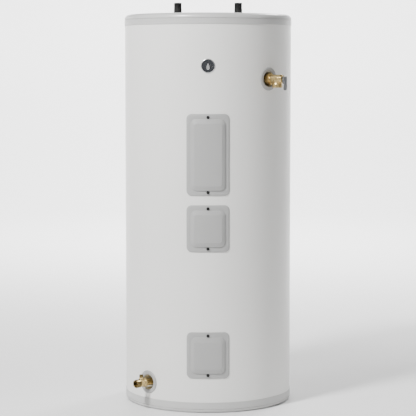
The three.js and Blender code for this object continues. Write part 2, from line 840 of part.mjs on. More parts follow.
function makeCover(height) {
  const inset = (side, end, radius) =>
    roundedOutline(coverWidth / 2 - side, height / 2 - end, radius, 2, 4);
  const { side, end, radius, stand } = coverEdge;
  const foot = 0.5;
  const top = stand + coverPanel.raise;
  const rim = inset(0, 0, radius);
  const bevel = inset(side, end, radius - 2.2);
  const slope = inset(coverFlange.side, coverFlange.end, coverFlange.radius);
  const panel = inset(coverPanel.side, coverPanel.end, coverPanel.radius);
  const rimInside = inset(coverWall, coverWall, radius - coverWall);
  const bevelInside = inset(side + 1, end + 1, radius - 3);
  const slopeInside = inset(coverFlange.side + 1.3, coverFlange.end + 1.3, coverFlange.radius - 1);
  const panelInside = inset(coverPanel.side + 0.8, coverPanel.end + 0.8, coverPanel.radius - 0.5);
  const shell = wrapped([
    ...closing(panelInside, top - coverWall),
    [panelInside, top - coverWall],
    [slopeInside, stand - coverWall],
    [bevelInside, stand - coverWall],
    [rimInside, foot],
    [rim, foot],
    [rim, foot + 0.6],
    [bevel, stand],
    [slope, stand],
    [panel, top],
    ...closing(panel, top).reverse(),
  ]);
  const holes = [-1, 1].map((s) =>
    rod(screw.shank + gap, jacketRadius - 5, jacketRadius + 15, 8)
      .translate(0, s * (height / 2 - screwInset), 0),
  );
  return cut(shell, ...holes);
}

// A washer-head sheet-metal screw with its seat at the origin.
function makeScrew(length = screw.length, headHeight = screw.headHeight) {
  const shaft = turned(
    [
      [0, -length],
      [screw.shank * 0.4, -length],
      [screw.shank, 2 - length],
      [screw.shank, 0],
      [screw.washer, 0],
      [screw.washer, screw.washerHeight],
      [0, screw.washerHeight],
    ],
    10,
  );
  return join(shaft, hexBar(2 * screw.head * 0.9, screw.washerHeight - 0.2, screw.washerHeight + headHeight));
}

for (const cover of covers) {
  const group = wallGroup(0, cover.z);
  add(group, cover.name, makeCover(cover.height), materials.cover);
  for (const [place, side] of [["top", 1], ["bottom", -1]]) {
    add(group, `${cover.name}_screw_${place}`, makeScrew(), materials.zinc).position.set(
      0, side * (cover.height / 2 - screwInset), jacketRadius + coverEdge.stand + gap);
  }
}

// ---------------------------------------------------------------- junction box in the lid

function makeJunctionBox() {
  const { width, depth, height, wall } = junction;
  const outside = block(width, depth, height, 0, junctionY, boxFloor + height / 2);
  const inside = block(
    width - 2 * wall, depth - 2 * wall, height, 0, junctionY, boxFloor + wall + height / 2);
  const leadHole = rod(harness.radius + gap, boxFloor - 5, boxFloor + 5, 12)
    .translate(harness.boxX, harnessY, 0);
  return cut(outside, inside, leadHole);
}

function makeJunctionCover() {
  const { width, depth, knockout, knockoutX, screwX } = junctionCover;
  const plate = new THREE.Shape(
    roundedOutline(width / 2, depth / 2, 4, 2, 1).map(([x, y]) => new THREE.Vector2(x, y)),
  );
  const top = junction.wall + conduitSeat.height;
  const seat = rod(conduitSeat.radius, junction.wall / 2, top, 24).translate(knockoutX, 0, 0);
  return cut(
    join(new THREE.ExtrudeGeometry(plate, { depth: junction.wall, bevelEnabled: false }), seat),
    rod(knockout, -5, top + 5, 24).translate(knockoutX, 0, 0),
    rod(screw.shank + gap, -5, top + 5, 10).translate(screwX, 0, 0),
  );
}

add(heater, "junction_box", makeJunctionBox(), materials.zinc);
const coverPlate = add(heater, "junction_cover", makeJunctionCover(), materials.trimPaint);
coverPlate.position.set(0, junctionY, lidDeck + gap);
const plateTop = lidDeck + gap + junction.wall;
add(heater, "junction_cover_screw", makeScrew(7, 1.6), materials.zinc)
  .position.set(junctionCover.screwX, junctionY, plateTop + gap);
add(heater, "ground_screw", makeScrew(8, 1.6), materials.brass)
  .position.set(groundScrew.x, groundY, lidDeck + gap);

// ---------------------------------------------------------------- trim

function makeEscutcheon() {
  const { outer, inner, thickness } = escutcheon;
  const foot = 0.5;
  const layers = [
    [circleOutline(inner), foot],
    [circleOutline(outer), foot],
    [circleOutline(outer), foot + 0.8],
    [circleOutline(outer - 2.2), foot + thickness],
    [circleOutline(inner + 2), foot + thickness],
    [circleOutline(inner), foot + 1.2],
  ];
  return wrapped([...layers, layers[0]]);
}

function makeBadge() {
  const outline = circleOutline(badge.radius);
  const face = circleOutline(badge.radius - 0.8);
  return wrapped([
    ...closing(outline, 0.5),
    [outline, 0.5],
    [outline, badge.thickness - 0.6],
    [face, badge.thickness],
    ...closing(face, badge.thickness).reverse(),
  ]);
}

add(wallGroup(0, badge.z), "badge", makeBadge(), materials.trim);
const reliefGroup = wallGroup(relief.angle, relief.z);
const drainGroup = wallGroup(drain.angle, drain.z);
add(reliefGroup, "relief_escutcheon", makeEscutcheon(), materials.cover);
add(drainGroup, "drain_escutcheon", makeEscutcheon(), materials.cover);

// ---------------------------------------------------------------- temperature and pressure relief valve

const upright = (geometry, z) => geometry.rotateX(-Math.PI / 2).translate(0, 0, z); // Z turned to +Y

function makeReliefBody() {
  const v = relief;
  const threadEnd = sideSpudOuter + 4;
  const shaft = turned(
    [
      [0, sideSpudInner],
      [pipeRadius, sideSpudInner],
      [pipeRadius, threadEnd],
      [v.neck, threadEnd + 1],
      [v.neck, v.barrelStart - 3],
      [v.barrel, v.barrelStart],
      [v.barrel, v.barrelEnd],
      [0, v.barrelEnd],
    ],
    16,
  );
  const socketStart = v.socketDepth - v.outletReach;
  const collarTop = v.collarHeight - v.outletReach;
  const outlet = turned(
    [
      [0, -v.outletReach],
      [v.collar, -v.outletReach],
      [v.collar, collarTop],
      [v.collar - 1, collarTop + 1],
      [v.outletNeck, collarTop + 6],
      [v.outletNeck, -2],
      [0, -2],
    ],
    16,
  );
  const web = new THREE.Shape([
    new THREE.Vector2(v.hexEnd + 4, -10),
    new THREE.Vector2(v.hexEnd + 4, -15),
    new THREE.Vector2(v.outletAt - 10, collarTop - 4),
    new THREE.Vector2(v.outletAt - 4, -10),
  ]);
  const gusset = new THREE.ExtrudeGeometry(web, { depth: 5, bevelEnabled: false })
    .translate(0, 0, -2.5)
    .rotateY(-Math.PI / 2);
  const hexagon = hexBar(v.hexFlats, v.hexStart, v.hexEnd);
  const solid = join(shaft, hexagon, upright(outlet, v.outletAt), gusset);
  return cut(
    solid,
    rod(v.inletBore, sideSpudInner - 5, v.seat - 3, 16),
    rod(v.seatBore, v.seat - 5, v.seat + 2, 16),
    rod(v.chamber, v.seat, v.barrelEnd + 5, 16),
    upright(rod(v.outletBore, -v.outletReach - 5, 0, 16), v.outletAt),
    upright(rod(v.socketBore, -v.outletReach - 5, socketStart, 16), v.outletAt),
  );
}

function makeBonnet() {
  const v = relief;
  const plugRadius = v.chamber - gap;
  const shoulder = v.barrelEnd + gap;
  return turned(
    [
      [bonnet.inner, v.barrelEnd - bonnet.insert],
      [plugRadius, v.barrelEnd - bonnet.insert],
      [plugRadius, shoulder],
      [v.barrel - 0.6, shoulder],
      [v.barrel - 0.6, bonnet.end - 2],
      [v.barrel - 2.6, bonnet.end],
      [stem.rod + gap, bonnet.end],
      [stem.rod + gap, bonnet.end - bonnet.roof],
      [bonnet.inner, bonnet.end - bonnet.roof],
    ],
    16,
  );
}

function makeReliefStem() {
  const seat = relief.seat + gap;
  // the end is domed about the lever's pin, so that the lever's web swings clear of it
  const dome = [14, 37, 62].map((degrees) => {
    const angle = (degrees * Math.PI) / 180;
    return [stem.overPin * Math.cos(angle), pinStation + stem.overPin * Math.sin(angle)];
  });
  const shaft = turned(
    [
      [0, stem.probeStart],
      [stem.probe, stem.probeStart],
      [stem.probe, seat],
      [stem.disc, seat],
      [stem.disc, seat + stem.discDepth],
      [stem.rod, seat + stem.discDepth],
      [stem.rod, pinStation - 3.6],
      [stem.head, pinStation - 2.4],
      ...dome,
      [0, pinStation + stem.overPin],
    ],
    16,
  );
  const eye = rod(leverPin.radius + gap, -10, 10, 12).rotateY(Math.PI / 2).translate(0, 0, pinStation);
  return cut(shaft, eye);
}

// The spring's envelope between the disc and the bonnet's roof, as a coil.
function makeReliefSpring() {
  const start = relief.seat + gap + stem.discDepth + gap + spring.wire;
  const end = bonnet.end - bonnet.roof - gap - spring.wire;
  class Coil extends THREE.Curve {
    getPoint(t, target = new THREE.Vector3()) {
      const angle = 2 * Math.PI * spring.turns * t;
      return target.set(
        spring.radius * Math.cos(angle), spring.radius * Math.sin(angle), start + (end - start) * t);
    }
  }
  return swept(new Coil(), spring.wire, 50, 5);
}

// The outline of a lever cheek, whose lower right corner is a cam that lifts the pin steadily.
function cheekOutline() {
  const low = leverPin.overCap - gap;
  const rate = lever.lift / (Math.PI / 2);
  const cam = Array.from({ length: 9 }, (_, i) => {
    const angle = (Math.PI / 2) * (i / 8);
    const reach = low + rate * angle;
    return [
      reach * Math.sin(angle) + rate * Math.cos(angle),
      -reach * Math.cos(angle) + rate * Math.sin(angle),
    ];
  });
  const front = lever.topReach;
  return [[-7, -low], ...cam, [cam.at(-1)[0], front], [-16, front], [-16, front - 4]];
}

function makeLever() {
  const front = lever.topReach;
  const cheek = new THREE.Shape(cheekOutline().map(([y, z]) => new THREE.Vector2(z, y)));
  const cheeks = [-1, 1].map((side) =>
    new THREE.ExtrudeGeometry(cheek, { depth: lever.sheet, bevelEnabled: false })
      .rotateY(-Math.PI / 2)
      .translate(side > 0 ? lever.cheekGap + lever.sheet : -lever.cheekGap, 0, 0),
  );
  const half = lever.cheekGap + lever.sheet;
  const tip = -lever.drop;
  // the blade's outline from the side, swept across its width
  const side = [[8, front - 0.01], [-18, front - 0.01], [tip + 8, front - 0.1], [tip, front - lever.tipTuck]];
  const profile = [
    ...side.map(([y, z]) => new THREE.Vector2(z, y)),
    ...side.map(([y, z]) => new THREE.Vector2(z + lever.sheet, y)).reverse(),
  ];
  const blade = new THREE.ExtrudeGeometry(new THREE.Shape(profile), {
    depth: 2 * lever.tipHalfWidth,
    bevelEnabled: false,
  })
    .rotateY(-Math.PI / 2)
    .translate(lever.tipHalfWidth, 0, 0);
  const taper = new THREE.ExtrudeGeometry(
    new THREE.Shape([
      new THREE.Vector2(-half, 16),
      new THREE.Vector2(-half, -14),
      new THREE.Vector2(-lever.tipHalfWidth, -22),
      new THREE.Vector2(-lever.tipHalfWidth, tip + 4),
      new THREE.Vector2(-lever.tipHalfWidth + 4, tip - 1),
      new THREE.Vector2(lever.tipHalfWidth - 4, tip - 1),
      new THREE.Vector2(lever.tipHalfWidth, tip + 4),
      new THREE.Vector2(lever.tipHalfWidth, -22),
      new THREE.Vector2(half, -14),
      new THREE.Vector2(half, 16),
    ]),
    { depth: 30, bevelEnabled: false },
  ).translate(0, 0, -5);
  const plate = geometryOf(solidOf(blade).intersect(solidOf(taper)));
  const pinHole = rod(leverPin.radius + gap, -12, 12, 12).rotateY(Math.PI / 2);
  return cut(join(plate, ...cheeks), pinHole);
}

function makeLeverPin() {
  const end = lever.cheekGap + lever.sheet + gap;
  return turned(
    [
      [0, -end - 0.8],
      [leverPin.radius, -end - 0.8],
      [leverPin.radius, end],
      [leverPin.head, end],
      [leverPin.head, end + leverPin.headHeight],
      [0, end + leverPin.headHeight],
    ],
    12,
  ).rotateY(Math.PI / 2);
}

add(reliefGroup, "relief_valve_body", makeReliefBody(), materials.brass);
add(reliefGroup, "relief_bonnet", makeBonnet(), materials.brass);
add(reliefGroup, "relief_stem", makeReliefStem(), materials.steel);
add(reliefGroup, "relief_spring", makeReliefSpring(), materials.steel);
add(reliefGroup, "relief_lever", makeLever(), materials.zinc).position.z = pinStation;
add(reliefGroup, "relief_lever_pin", makeLeverPin(), materials.steel).position.z = pinStation;

// ---------------------------------------------------------------- drain valve

function makeDrainBody() {
  const v = drain;
  const threadEnd = sideSpudOuter + 4;
  const shaft = turned(
    [
      [0, sideSpudInner],
      [pipeRadius, sideSpudInner],
      [pipeRadius, threadEnd],
      [v.neck, threadEnd + 1],
      [v.neck, v.hexEnd],
      [v.barrel, v.hexEnd + 1],
      [v.barrel, v.barrelEnd - 1],
      [v.hoseThread - 2, v.barrelEnd],
      [v.hoseThread, v.barrelEnd + 1.5],
      [v.hoseThread, v.end - 1.5],
      [v.hoseThread - 1.5, v.end],
      [0, v.end],
    ],
    16,
  );
  const solid = join(
    shaft,
    hexBar(v.hexFlats, v.hexStart, v.hexEnd),
    upright(rod(v.bossRadius, 0, v.bossTop, 16), v.stemAt),
  );
  return cut(
    solid,
    rod(v.bore, sideSpudInner - 5, v.end + 5, 16),
    rod(v.mouthBore, v.end - v.mouthDepth, v.end + 5, 16),
    new THREE.SphereGeometry(v.ball + gap, 24, 12).translate(0, 0, v.stemAt),
    upright(rod(v.shaft + gap, 0, v.bossTop + 5, 14), v.stemAt),
  );
}

const slotWidth = 3.2;
const slotFloor = drain.bore + gap;

function makeBall() {
  return cut(
    new THREE.SphereGeometry(drain.ball, 12, 8),
    rod(drain.bore, -15, 15, 16).rotateY(Math.PI / 2),
    block(30, 10, slotWidth, 0, slotFloor + 5, 0),
  );
}

// The stem with its knob, slotted for a screwdriver, and the tang that turns the ball.
function makeDrainStem() {
  const knobStart = drain.bossTop + gap + drain.nutHeight + gap;
  const knobEnd = knobStart + drain.knobHeight;
  const shaft = turned(
    [
      [0, drain.ball + gap],
      [drain.shaft, drain.ball + gap],
      [drain.shaft, knobStart],
      [drain.knob, knobStart],
      [drain.knob, knobEnd - 1],
      [drain.knob - 1, knobEnd],
      [0, knobEnd],
    ],
    20,
  ).rotateX(-Math.PI / 2);
  const tangHeight = drain.ball + gap - slotFloor;
  const tang = block(4.4, tangHeight, slotWidth - 2 * gap, 0, slotFloor + gap + tangHeight / 2, 0);
  return cut(join(shaft, tang), block(20, 3, 1.8, 0, knobEnd, 0));
}

function makeGlandNut() {
  const start = drain.bossTop + gap;
  return cut(
    hexBar(drain.nutFlats, start, start + drain.nutHeight),
    rod(drain.shaft + gap, start - 5, start + drain.nutHeight + 5, 14),
  ).rotateX(-Math.PI / 2);
}

add(drainGroup, "drain_valve_body", makeDrainBody(), materials.brass);
add(drainGroup, "drain_valve_ball", makeBall(), materials.steel).position.z = drain.stemAt;
add(drainGroup, "drain_valve_stem", makeDrainStem(), materials.brass).position.z = drain.stemAt;
add(drainGroup, "drain_gland_nut", makeGlandNut(), materials.brass).position.z = drain.stemAt;

export default heater;
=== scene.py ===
"""Electric tank water heater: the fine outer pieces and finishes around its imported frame."""
import json
import math

import bmesh
import bpy
import numpy as np
from mathutils import Matrix, Vector


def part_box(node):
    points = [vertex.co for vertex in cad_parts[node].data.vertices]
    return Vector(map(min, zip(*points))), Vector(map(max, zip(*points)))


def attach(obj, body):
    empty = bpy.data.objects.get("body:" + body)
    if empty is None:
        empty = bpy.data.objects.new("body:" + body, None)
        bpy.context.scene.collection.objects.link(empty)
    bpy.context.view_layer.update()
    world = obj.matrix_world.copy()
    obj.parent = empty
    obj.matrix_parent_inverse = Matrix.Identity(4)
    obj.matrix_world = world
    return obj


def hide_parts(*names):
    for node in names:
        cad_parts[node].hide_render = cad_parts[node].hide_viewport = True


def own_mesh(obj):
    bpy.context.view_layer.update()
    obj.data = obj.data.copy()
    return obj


bl_info = {
    "name": "Tank Water Heater",
    "version": (1, 0, 0),
    "blender": (4, 5, 0),
    "location": "View3D > Sidebar > Heater",
    "description": "Builds a floor-standing electric water heater with its valves, covers and pipe work",
    "category": "Add Mesh",
}

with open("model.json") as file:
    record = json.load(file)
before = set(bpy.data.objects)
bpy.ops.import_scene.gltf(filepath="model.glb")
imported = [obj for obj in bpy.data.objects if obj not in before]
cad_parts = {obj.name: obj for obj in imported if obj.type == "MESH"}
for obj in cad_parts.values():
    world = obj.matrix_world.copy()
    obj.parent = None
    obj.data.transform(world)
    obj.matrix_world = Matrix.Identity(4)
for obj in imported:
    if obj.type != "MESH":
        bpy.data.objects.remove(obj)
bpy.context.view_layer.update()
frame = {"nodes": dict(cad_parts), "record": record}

MM = 0.001
ROOT = "heater"

# ------------------------------------------------------------------ places taken from the frame


def middle(node):
    low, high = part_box(node)
    return (low + high) / 2


def wall_angle(node):
    """Turn about the heater's axis, from the front towards the right, to where a node sits."""
    centre = middle(node)
    return math.atan2(centre.x, -centre.y)


def wall_frame(angle, z, out=0.0):
    """Matrix of a frame on the wall: X along the wall, Y up, Z out of it, starting out from the axis."""
    turn = Matrix.Rotation(angle, 4, "Z") @ Matrix.Rotation(math.pi / 2, 4, "X")
    return Matrix.Translation((0, 0, z)) @ turn @ Matrix.Translation((0, 0, out))


JACKET_LOW, JACKET_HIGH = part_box("jacket")
LID_LOW, LID_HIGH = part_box("top_cover")
PAN_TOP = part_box("base_pan")[1].z
JACKET_RADIUS = JACKET_HIGH.x
COAT_RADIUS = LID_HIGH.x
BODY_HEIGHT = LID_HIGH.z
RELIEF = wall_angle("relief_escutcheon"), middle("relief_escutcheon").z
DRAIN = wall_angle("drain_escutcheon"), middle("drain_escutcheon").z
JOINTS = {joint["name"]: joint for joint in frame["record"]["behaviour"]["joints"]}
PIN_STATION = Vector(JOINTS["relief_lever_lift"]["pos_m"]).xy.length
COVERS = ("lower_element_cover", "upper_element_cover", "control_cover")

# ------------------------------------------------------------------ sizes that pieces share

COVER_HALF_WIDTH = 70 * MM  # along the jacket's curve
ALONG_CURVE = 1.005  # a cover's width along the curve over its width straight across
WINDOW_INSET = 17 * MM  # from a cover's edge to the window behind it
SCREW_INSET = 11 * MM  # from a cover's end to the middle of its screw
SCREW_HOLE = 2.2 * MM  # radius
VALVE_HOLE = 25 * MM  # radius
PIVOT_HOLE = 1.8 * MM  # radius
THROUGH_WALL = (0.2, 0.32)  # from and to what distance off the axis a tool cuts the wall
SPUD_END, SPUD_RADIUS = 224.5, 13.35  # of a valve's threaded end in the tank, in mm
ACROSS = Matrix.Rotation(math.pi / 2, 4, "Y")  # lays a bar along Z across the wall

# ------------------------------------------------------------------ settings


def length(name, description, default, low=0.0, high=10.0):
    return bpy.props.FloatProperty(
        name=name, description=description, default=default, min=low, max=high,
        unit="LENGTH", subtype="DISTANCE", precision=5)


def colour(name, description, default):
    return bpy.props.FloatVectorProperty(
        name=name, description=description, default=default, size=3, min=0, max=1, subtype="COLOR")


class HeaterShellSettings(bpy.types.PropertyGroup):
    steps: bpy.props.IntProperty(
        name="Facets", description="Facets round the jacket, lid and pan", default=240, min=24, max=720)
    sheet: length("Sheet", "Thickness of the painted sheet steel", 1.0 * MM)
    lid_corner: length("Lid Corner", "Radius of the lid's rounded edge", 16 * MM)
    lid_rim: length("Lid Rim", "Width of the flat rim round the lid", 7 * MM)
    lid_sink: length("Lid Sink", "How far the lid's deck lies below its rim", 4 * MM)
    pan_corner: length("Pan Corner", "Radius of the pan's lower edge", 11 * MM)
    crease: length("Crease", "Depth of the crease pressed beside the rounded edges", 1.3 * MM)
    seam_width: length("Seam Width", "Width of the jacket's lock seam at the back", 9 * MM)
    paint: colour("Paint", "Enamel of the jacket", (0.82, 0.815, 0.79))
    pan_paint: colour("Trim Paint", "Enamel of the lid and base pan", (0.50, 0.50, 0.49))


class HeaterCoverSettings(bpy.types.PropertyGroup):
    flange: length("Flange", "How far the cover's flange stands off the jacket", 3 * MM)
    raised: length("Raised Panel", "How far the panel stands above the flange", 7 * MM)
    wall: length("Wall", "Thickness of the moulding", 1.5 * MM)
    soften: length("Softness", "Radius that rounds the cover's edges", 0.3 * MM)
    plastic: colour("Plastic", "Colour of the covers and trim rings", (0.36, 0.36, 0.355))


class HeaterTrimSettings(bpy.types.PropertyGroup):
    badge_colour: colour("Badge", "Gloss enamel of the round badge", (0.022, 0.024, 0.028))
    badge_metal: colour("Badge Metal", "Bright rim and drop of the badge", (0.78, 0.78, 0.79))
    washer: length("Washer", "Diameter of a cover screw's washer", 10.4 * MM)
    head: length("Head", "Width across the flats of a cover screw", 7.9 * MM)


class HeaterPipeSettings(bpy.types.PropertyGroup):
    pitch: length("Pitch", "Pitch of the pipe thread", 1.81 * MM)
    depth: length("Depth", "Depth of the pipe thread", 1.0 * MM)
    threaded: length("Threaded Length", "How far the thread runs down the pipe", 21 * MM)
    steel: colour("Steel", "Black pipe steel", (0.018, 0.018, 0.018))


class HeaterValveSettings(bpy.types.PropertyGroup):
    cast: length("Casting Detail", "Size of the smallest rounding on a casting", 0.75 * MM)
    hose_pitch: length("Hose Pitch", "Pitch of the hose thread", 2.2 * MM)
    hose_depth: length("Hose Depth", "Depth of the hose thread", 1.2 * MM)
    brass: colour("Brass", "Brass of the two valves", (0.66, 0.49, 0.22))
    steel: colour("Steel", "Zinc-plated steel of the lever and screws", (0.22, 0.225, 0.23))


class HeaterStageSettings(bpy.types.PropertyGroup):
    lens: bpy.props.FloatProperty(
        name="Lens", description="Focal length in millimetres", default=138.9, min=10, max=400)
    distance: length("Distance", "From the aim to the camera", 5.461, 0.5, 50)
    elevation: bpy.props.FloatProperty(
        name="Elevation", description="Camera's angle above level", default=math.radians(4.98),
        min=-1.5, max=1.5, subtype="ANGLE", unit="ROTATION")
    aim: length("Aim", "Height that the camera looks at", 0.6481)
    floor: colour("Floor", "Pale studio floor", (0.86, 0.86, 0.86))


# ------------------------------------------------------------------ finishes


def wire(tree, source, target):
    tree.links.new(source, target)


def noise(tree, where, scale, detail=3.0, roughness=0.55):
    node = tree.nodes.new("ShaderNodeTexNoise")
    node.inputs["Scale"].default_value = scale
    node.inputs["Detail"].default_value = detail
    node.inputs["Roughness"].default_value = roughness
    wire(tree, where, node.inputs["Vector"])
    return node.outputs["Fac"]


def remap(tree, value, low, high, to_low, to_high):
    node = tree.nodes.new("ShaderNodeMapRange")
    for name, number in (("From Min", low), ("From Max", high), ("To Min", to_low), ("To Max", to_high)):
        node.inputs[name].default_value = number
    wire(tree, value, node.inputs["Value"])
    return node.outputs["Result"]


def tint(tree, factor, first, second):
    node = tree.nodes.new("ShaderNodeMix")
    node.data_type = "RGBA"
    node.inputs["A"].default_value = (*first, 1)
    node.inputs["B"].default_value = (*second, 1)
    wire(tree, factor, node.inputs["Factor"])
    return node.outputs["Result"]


def shade(base, factor):
    return tuple(min(1.0, c * factor) for c in base)


def new_material(name):
    material = bpy.data.materials.new(name)
    material.use_nodes = True
    tree = material.node_tree
    shader = tree.nodes["Principled BSDF"]
    where = tree.nodes.new("ShaderNodeTexCoord").outputs["Object"]
    return material, tree, shader, where


def stretched(tree, where, scale):
    node = tree.nodes.new("ShaderNodeMapping")
    node.inputs["Scale"].default_value = scale
    wire(tree, where, node.inputs["Vector"])
    return node.outputs["Vector"]


def bump(tree, shader, height, distance, strength=1.0):
    node = tree.nodes.new("ShaderNodeBump")
    node.inputs["Distance"].default_value = distance
    node.inputs["Strength"].default_value = strength
    wire(tree, height, node.inputs["Height"])
    if shader.inputs["Normal"].is_linked:
        wire(tree, shader.inputs["Normal"].links[0].from_socket, node.inputs["Normal"])
    wire(tree, node.outputs["Normal"], shader.inputs["Normal"])


def surface(name, base, rough, metallic=0.0, spread=0.05, mottle=0.04, mottle_scale=9.0,
            grain_scale=900.0, grain=0.00004, coat=0.0, stretch=(1, 1, 1), specular=0.5):
    """A finish with uneven colour, uneven gloss and a fine grain."""
    material, tree, shader, where = new_material(name)
    along = stretched(tree, where, stretch)
    wide = noise(tree, where, mottle_scale, 4.0)
    fine = noise(tree, along, grain_scale, 2.0)
    blend = remap(tree, wide, 0.3, 0.7, 0.0, 1.0)
    uneven = tint(tree, blend, shade(base, 1 - mottle), shade(base, 1 + mottle))
    wire(tree, uneven, shader.inputs["Base Color"])
    gloss = remap(tree, noise(tree, along, mottle_scale * 4, 5.0), 0.3, 0.7, rough - spread, rough + spread)
    wire(tree, gloss, shader.inputs["Roughness"])
    shader.inputs["Metallic"].default_value = metallic
    shader.inputs["Specular IOR Level"].default_value = specular
    shader.inputs["Coat Weight"].default_value = coat
    shader.inputs["Coat Roughness"].default_value = 0.08
    bump(tree, shader, fine, grain)
    return material


def enamel(name, base):
    """Baked enamel on sheet steel: a faint orange peel, slightly uneven gloss and a trace of dust."""
    material, tree, shader, where = new_material(name)
    clouds = remap(tree, noise(tree, where, 2.2, 5.0), 0.35, 0.65, 0.0, 1.0)
    wire(tree, tint(tree, clouds, shade(base, 0.985), shade(base, 1.01)), shader.inputs["Base Color"])
    streaks = noise(tree, stretched(tree, where, (14, 14, 1.2)), 3.0, 6.0)
    wire(tree, remap(tree, streaks, 0.3, 0.7, 0.30, 0.42), shader.inputs["Roughness"])
    shader.inputs["Coat Weight"].default_value = 0.25
    shader.inputs["Coat Roughness"].default_value = 0.18
    bump(tree, shader, noise(tree, where, 260.0, 2.0), 0.00006, 0.6)
    bump(tree, shader, noise(tree, where, 7.0, 1.0), 0.0006, 0.25)
    return material


def cast_metal(name, base, tarnish):
    """A casting: sandy skin, darker and duller where it has tarnished."""
    material, tree, shader, where = new_material(name)
    patches = remap(tree, noise(tree, where, 60.0, 6.0, 0.65), 0.42, 0.72, 0.0, 1.0)
    wire(tree, tint(tree, patches, base, tarnish), shader.inputs["Base Color"])
    wire(tree, remap(tree, patches, 0.0, 1.0, 0.26, 0.5), shader.inputs["Roughness"])
    shader.inputs["Metallic"].default_value = 1.0
    bump(tree, shader, noise(tree, where, 1500.0, 3.0), 0.00005, 0.7)
    bump(tree, shader, noise(tree, where, 220.0, 3.0), 0.00012, 0.35)
    return material


def foam_skin(name, base):
    """Rigid foam: a cut face of small cells with darker, older patches."""
    material, tree, shader, where = new_material(name)
    cells = tree.nodes.new("ShaderNodeTexVoronoi")
    cells.inputs["Scale"].default_value = 420.0
    wire(tree, where, cells.inputs["Vector"])
    age = remap(tree, noise(tree, where, 6.0, 5.0), 0.35, 0.65, 0.0, 1.0)
    wire(tree, tint(tree, age, base, shade(base, 0.8)), shader.inputs["Base Color"])
    shader.inputs["Roughness"].default_value = 0.93
    bump(tree, shader, cells.outputs["Distance"], 0.0009, 0.8)
    return material


def braid(name, base):
    """A braided sleeve: two crossing waves of fine strands, with a painted sheen where one wave's strands
    stand highest.
    """
    material, tree, shader, where = new_material(name)
    heights = []
    for turn in (0.7, -0.7):
        node = tree.nodes.new("ShaderNodeTexWave")
        node.wave_type = "BANDS"
        node.bands_direction = "Z"
        node.inputs["Scale"].default_value = 180.0
        node.inputs["Distortion"].default_value = 0.4
        mapping = tree.nodes.new("ShaderNodeMapping")
        mapping.inputs["Rotation"].default_value = (0, turn, 0)
        wire(tree, where, mapping.inputs["Vector"])
        wire(tree, mapping.outputs["Vector"], node.inputs["Vector"])
        heights.append(node.outputs["Fac"])
    for height in heights:
        bump(tree, shader, height, 0.0005, 0.7)
    # painted sheen: the colour is lighter where the first wave's strands stand highest, from the same field
    # that raises them
    wire(tree, tint(tree, heights[0], base, shade(base, 2.2)), shader.inputs["Base Color"])
    shader.inputs["Roughness"].default_value = 0.75
    return material


FINISHES = {}


def make_finishes(scene):
    shell, cover, trim = scene.heater_shell, scene.heater_cover, scene.heater_trim
    pipe, valve = scene.heater_pipe, scene.heater_valve
    brass = tuple(valve.brass)
    FINISHES.update({
        "jacket_paint": enamel("jacket_enamel", tuple(shell.paint)),
        "pan_paint": enamel("pan_enamel", tuple(shell.pan_paint)),
        "cover_plastic": surface(
            "cover_plastic", tuple(cover.plastic), 0.46, mottle=0.012, grain_scale=1100, grain=0.00007),
        "tank_steel": surface(
            "fired_glass", (0.035, 0.06, 0.10), 0.24, mottle=0.25, mottle_scale=24, grain_scale=420,
            grain=0.0002, coat=0.5),
        "foam": foam_skin("rigid_foam", (0.70, 0.66, 0.52)),
        "black_steel": surface(
            "black_pipe", tuple(pipe.steel), 0.62, 0.2, mottle=0.35, mottle_scale=70,
            grain_scale=700, grain=0.00009, specular=0.25),
        "zinc_steel": surface(
            "zinc_plate", tuple(valve.steel), 0.40, 1.0, spread=0.08, mottle=0.06, mottle_scale=45,
            grain_scale=1400, grain=0.00003),
        "green_steel": surface(
            "green_zinc", (0.03, 0.22, 0.08), 0.32, 0.7, mottle=0.12, mottle_scale=60),
        "stainless": surface(
            "stainless_steel", (0.60, 0.60, 0.61), 0.24, 1.0, spread=0.06, mottle=0.04,
            mottle_scale=50, grain_scale=900, grain=0.00003, stretch=(1, 1, 9)),
        "copper_sheath": surface(
            "copper_sheath", (0.62, 0.30, 0.17), 0.38, 1.0, mottle=0.25, mottle_scale=30,
            grain_scale=900),
        "brass": cast_metal("cast_brass", brass, shade(brass, 0.52)),
        "machined_brass": surface(
            "machined_brass", shade(brass, 1.1), 0.2, 1.0, spread=0.05, mottle=0.08, mottle_scale=70,
            grain_scale=1600, grain=0.00002),
        "aged_brass": cast_metal("aged_brass", shade(brass, 0.34), shade(brass, 0.08)),
        "magnesium": surface(
            "cast_magnesium", (0.50, 0.50, 0.49), 0.55, 0.9, mottle=0.18, mottle_scale=50,
            grain_scale=600, grain=0.00015),
        "white_plastic": surface(
            "white_plastic", (0.78, 0.76, 0.70), 0.4, mottle=0.02, grain_scale=900, grain=0.00004),
        "black_plastic": surface(
            "phenolic", (0.014, 0.014, 0.015), 0.38, mottle=0.2, mottle_scale=80, grain_scale=1200,
            grain=0.00006),
        "red_plastic": surface("red_plastic", (0.46, 0.025, 0.02), 0.34, mottle=0.06, mottle_scale=60),
        "blue_plastic": surface("blue_plastic", (0.02, 0.08, 0.36), 0.34, mottle=0.06, mottle_scale=60),
        "badge_enamel": surface(
            "badge_enamel", tuple(trim.badge_colour), 0.16, mottle=0.1, mottle_scale=90,
            grain_scale=1500, grain=0.00001, coat=0.6),
        "badge_metal": surface(
            "badge_metal", tuple(trim.badge_metal), 0.22, 1.0, mottle=0.04, mottle_scale=80,
            grain_scale=1800, grain=0.00001),
        "rubber": surface("gasket_rubber", (0.012, 0.012, 0.012), 0.8, mottle=0.2, grain_scale=800),
        "wire_sleeve": braid("wire_sleeve", (0.016, 0.016, 0.017)),
    })


# ------------------------------------------------------------------ mesh tools


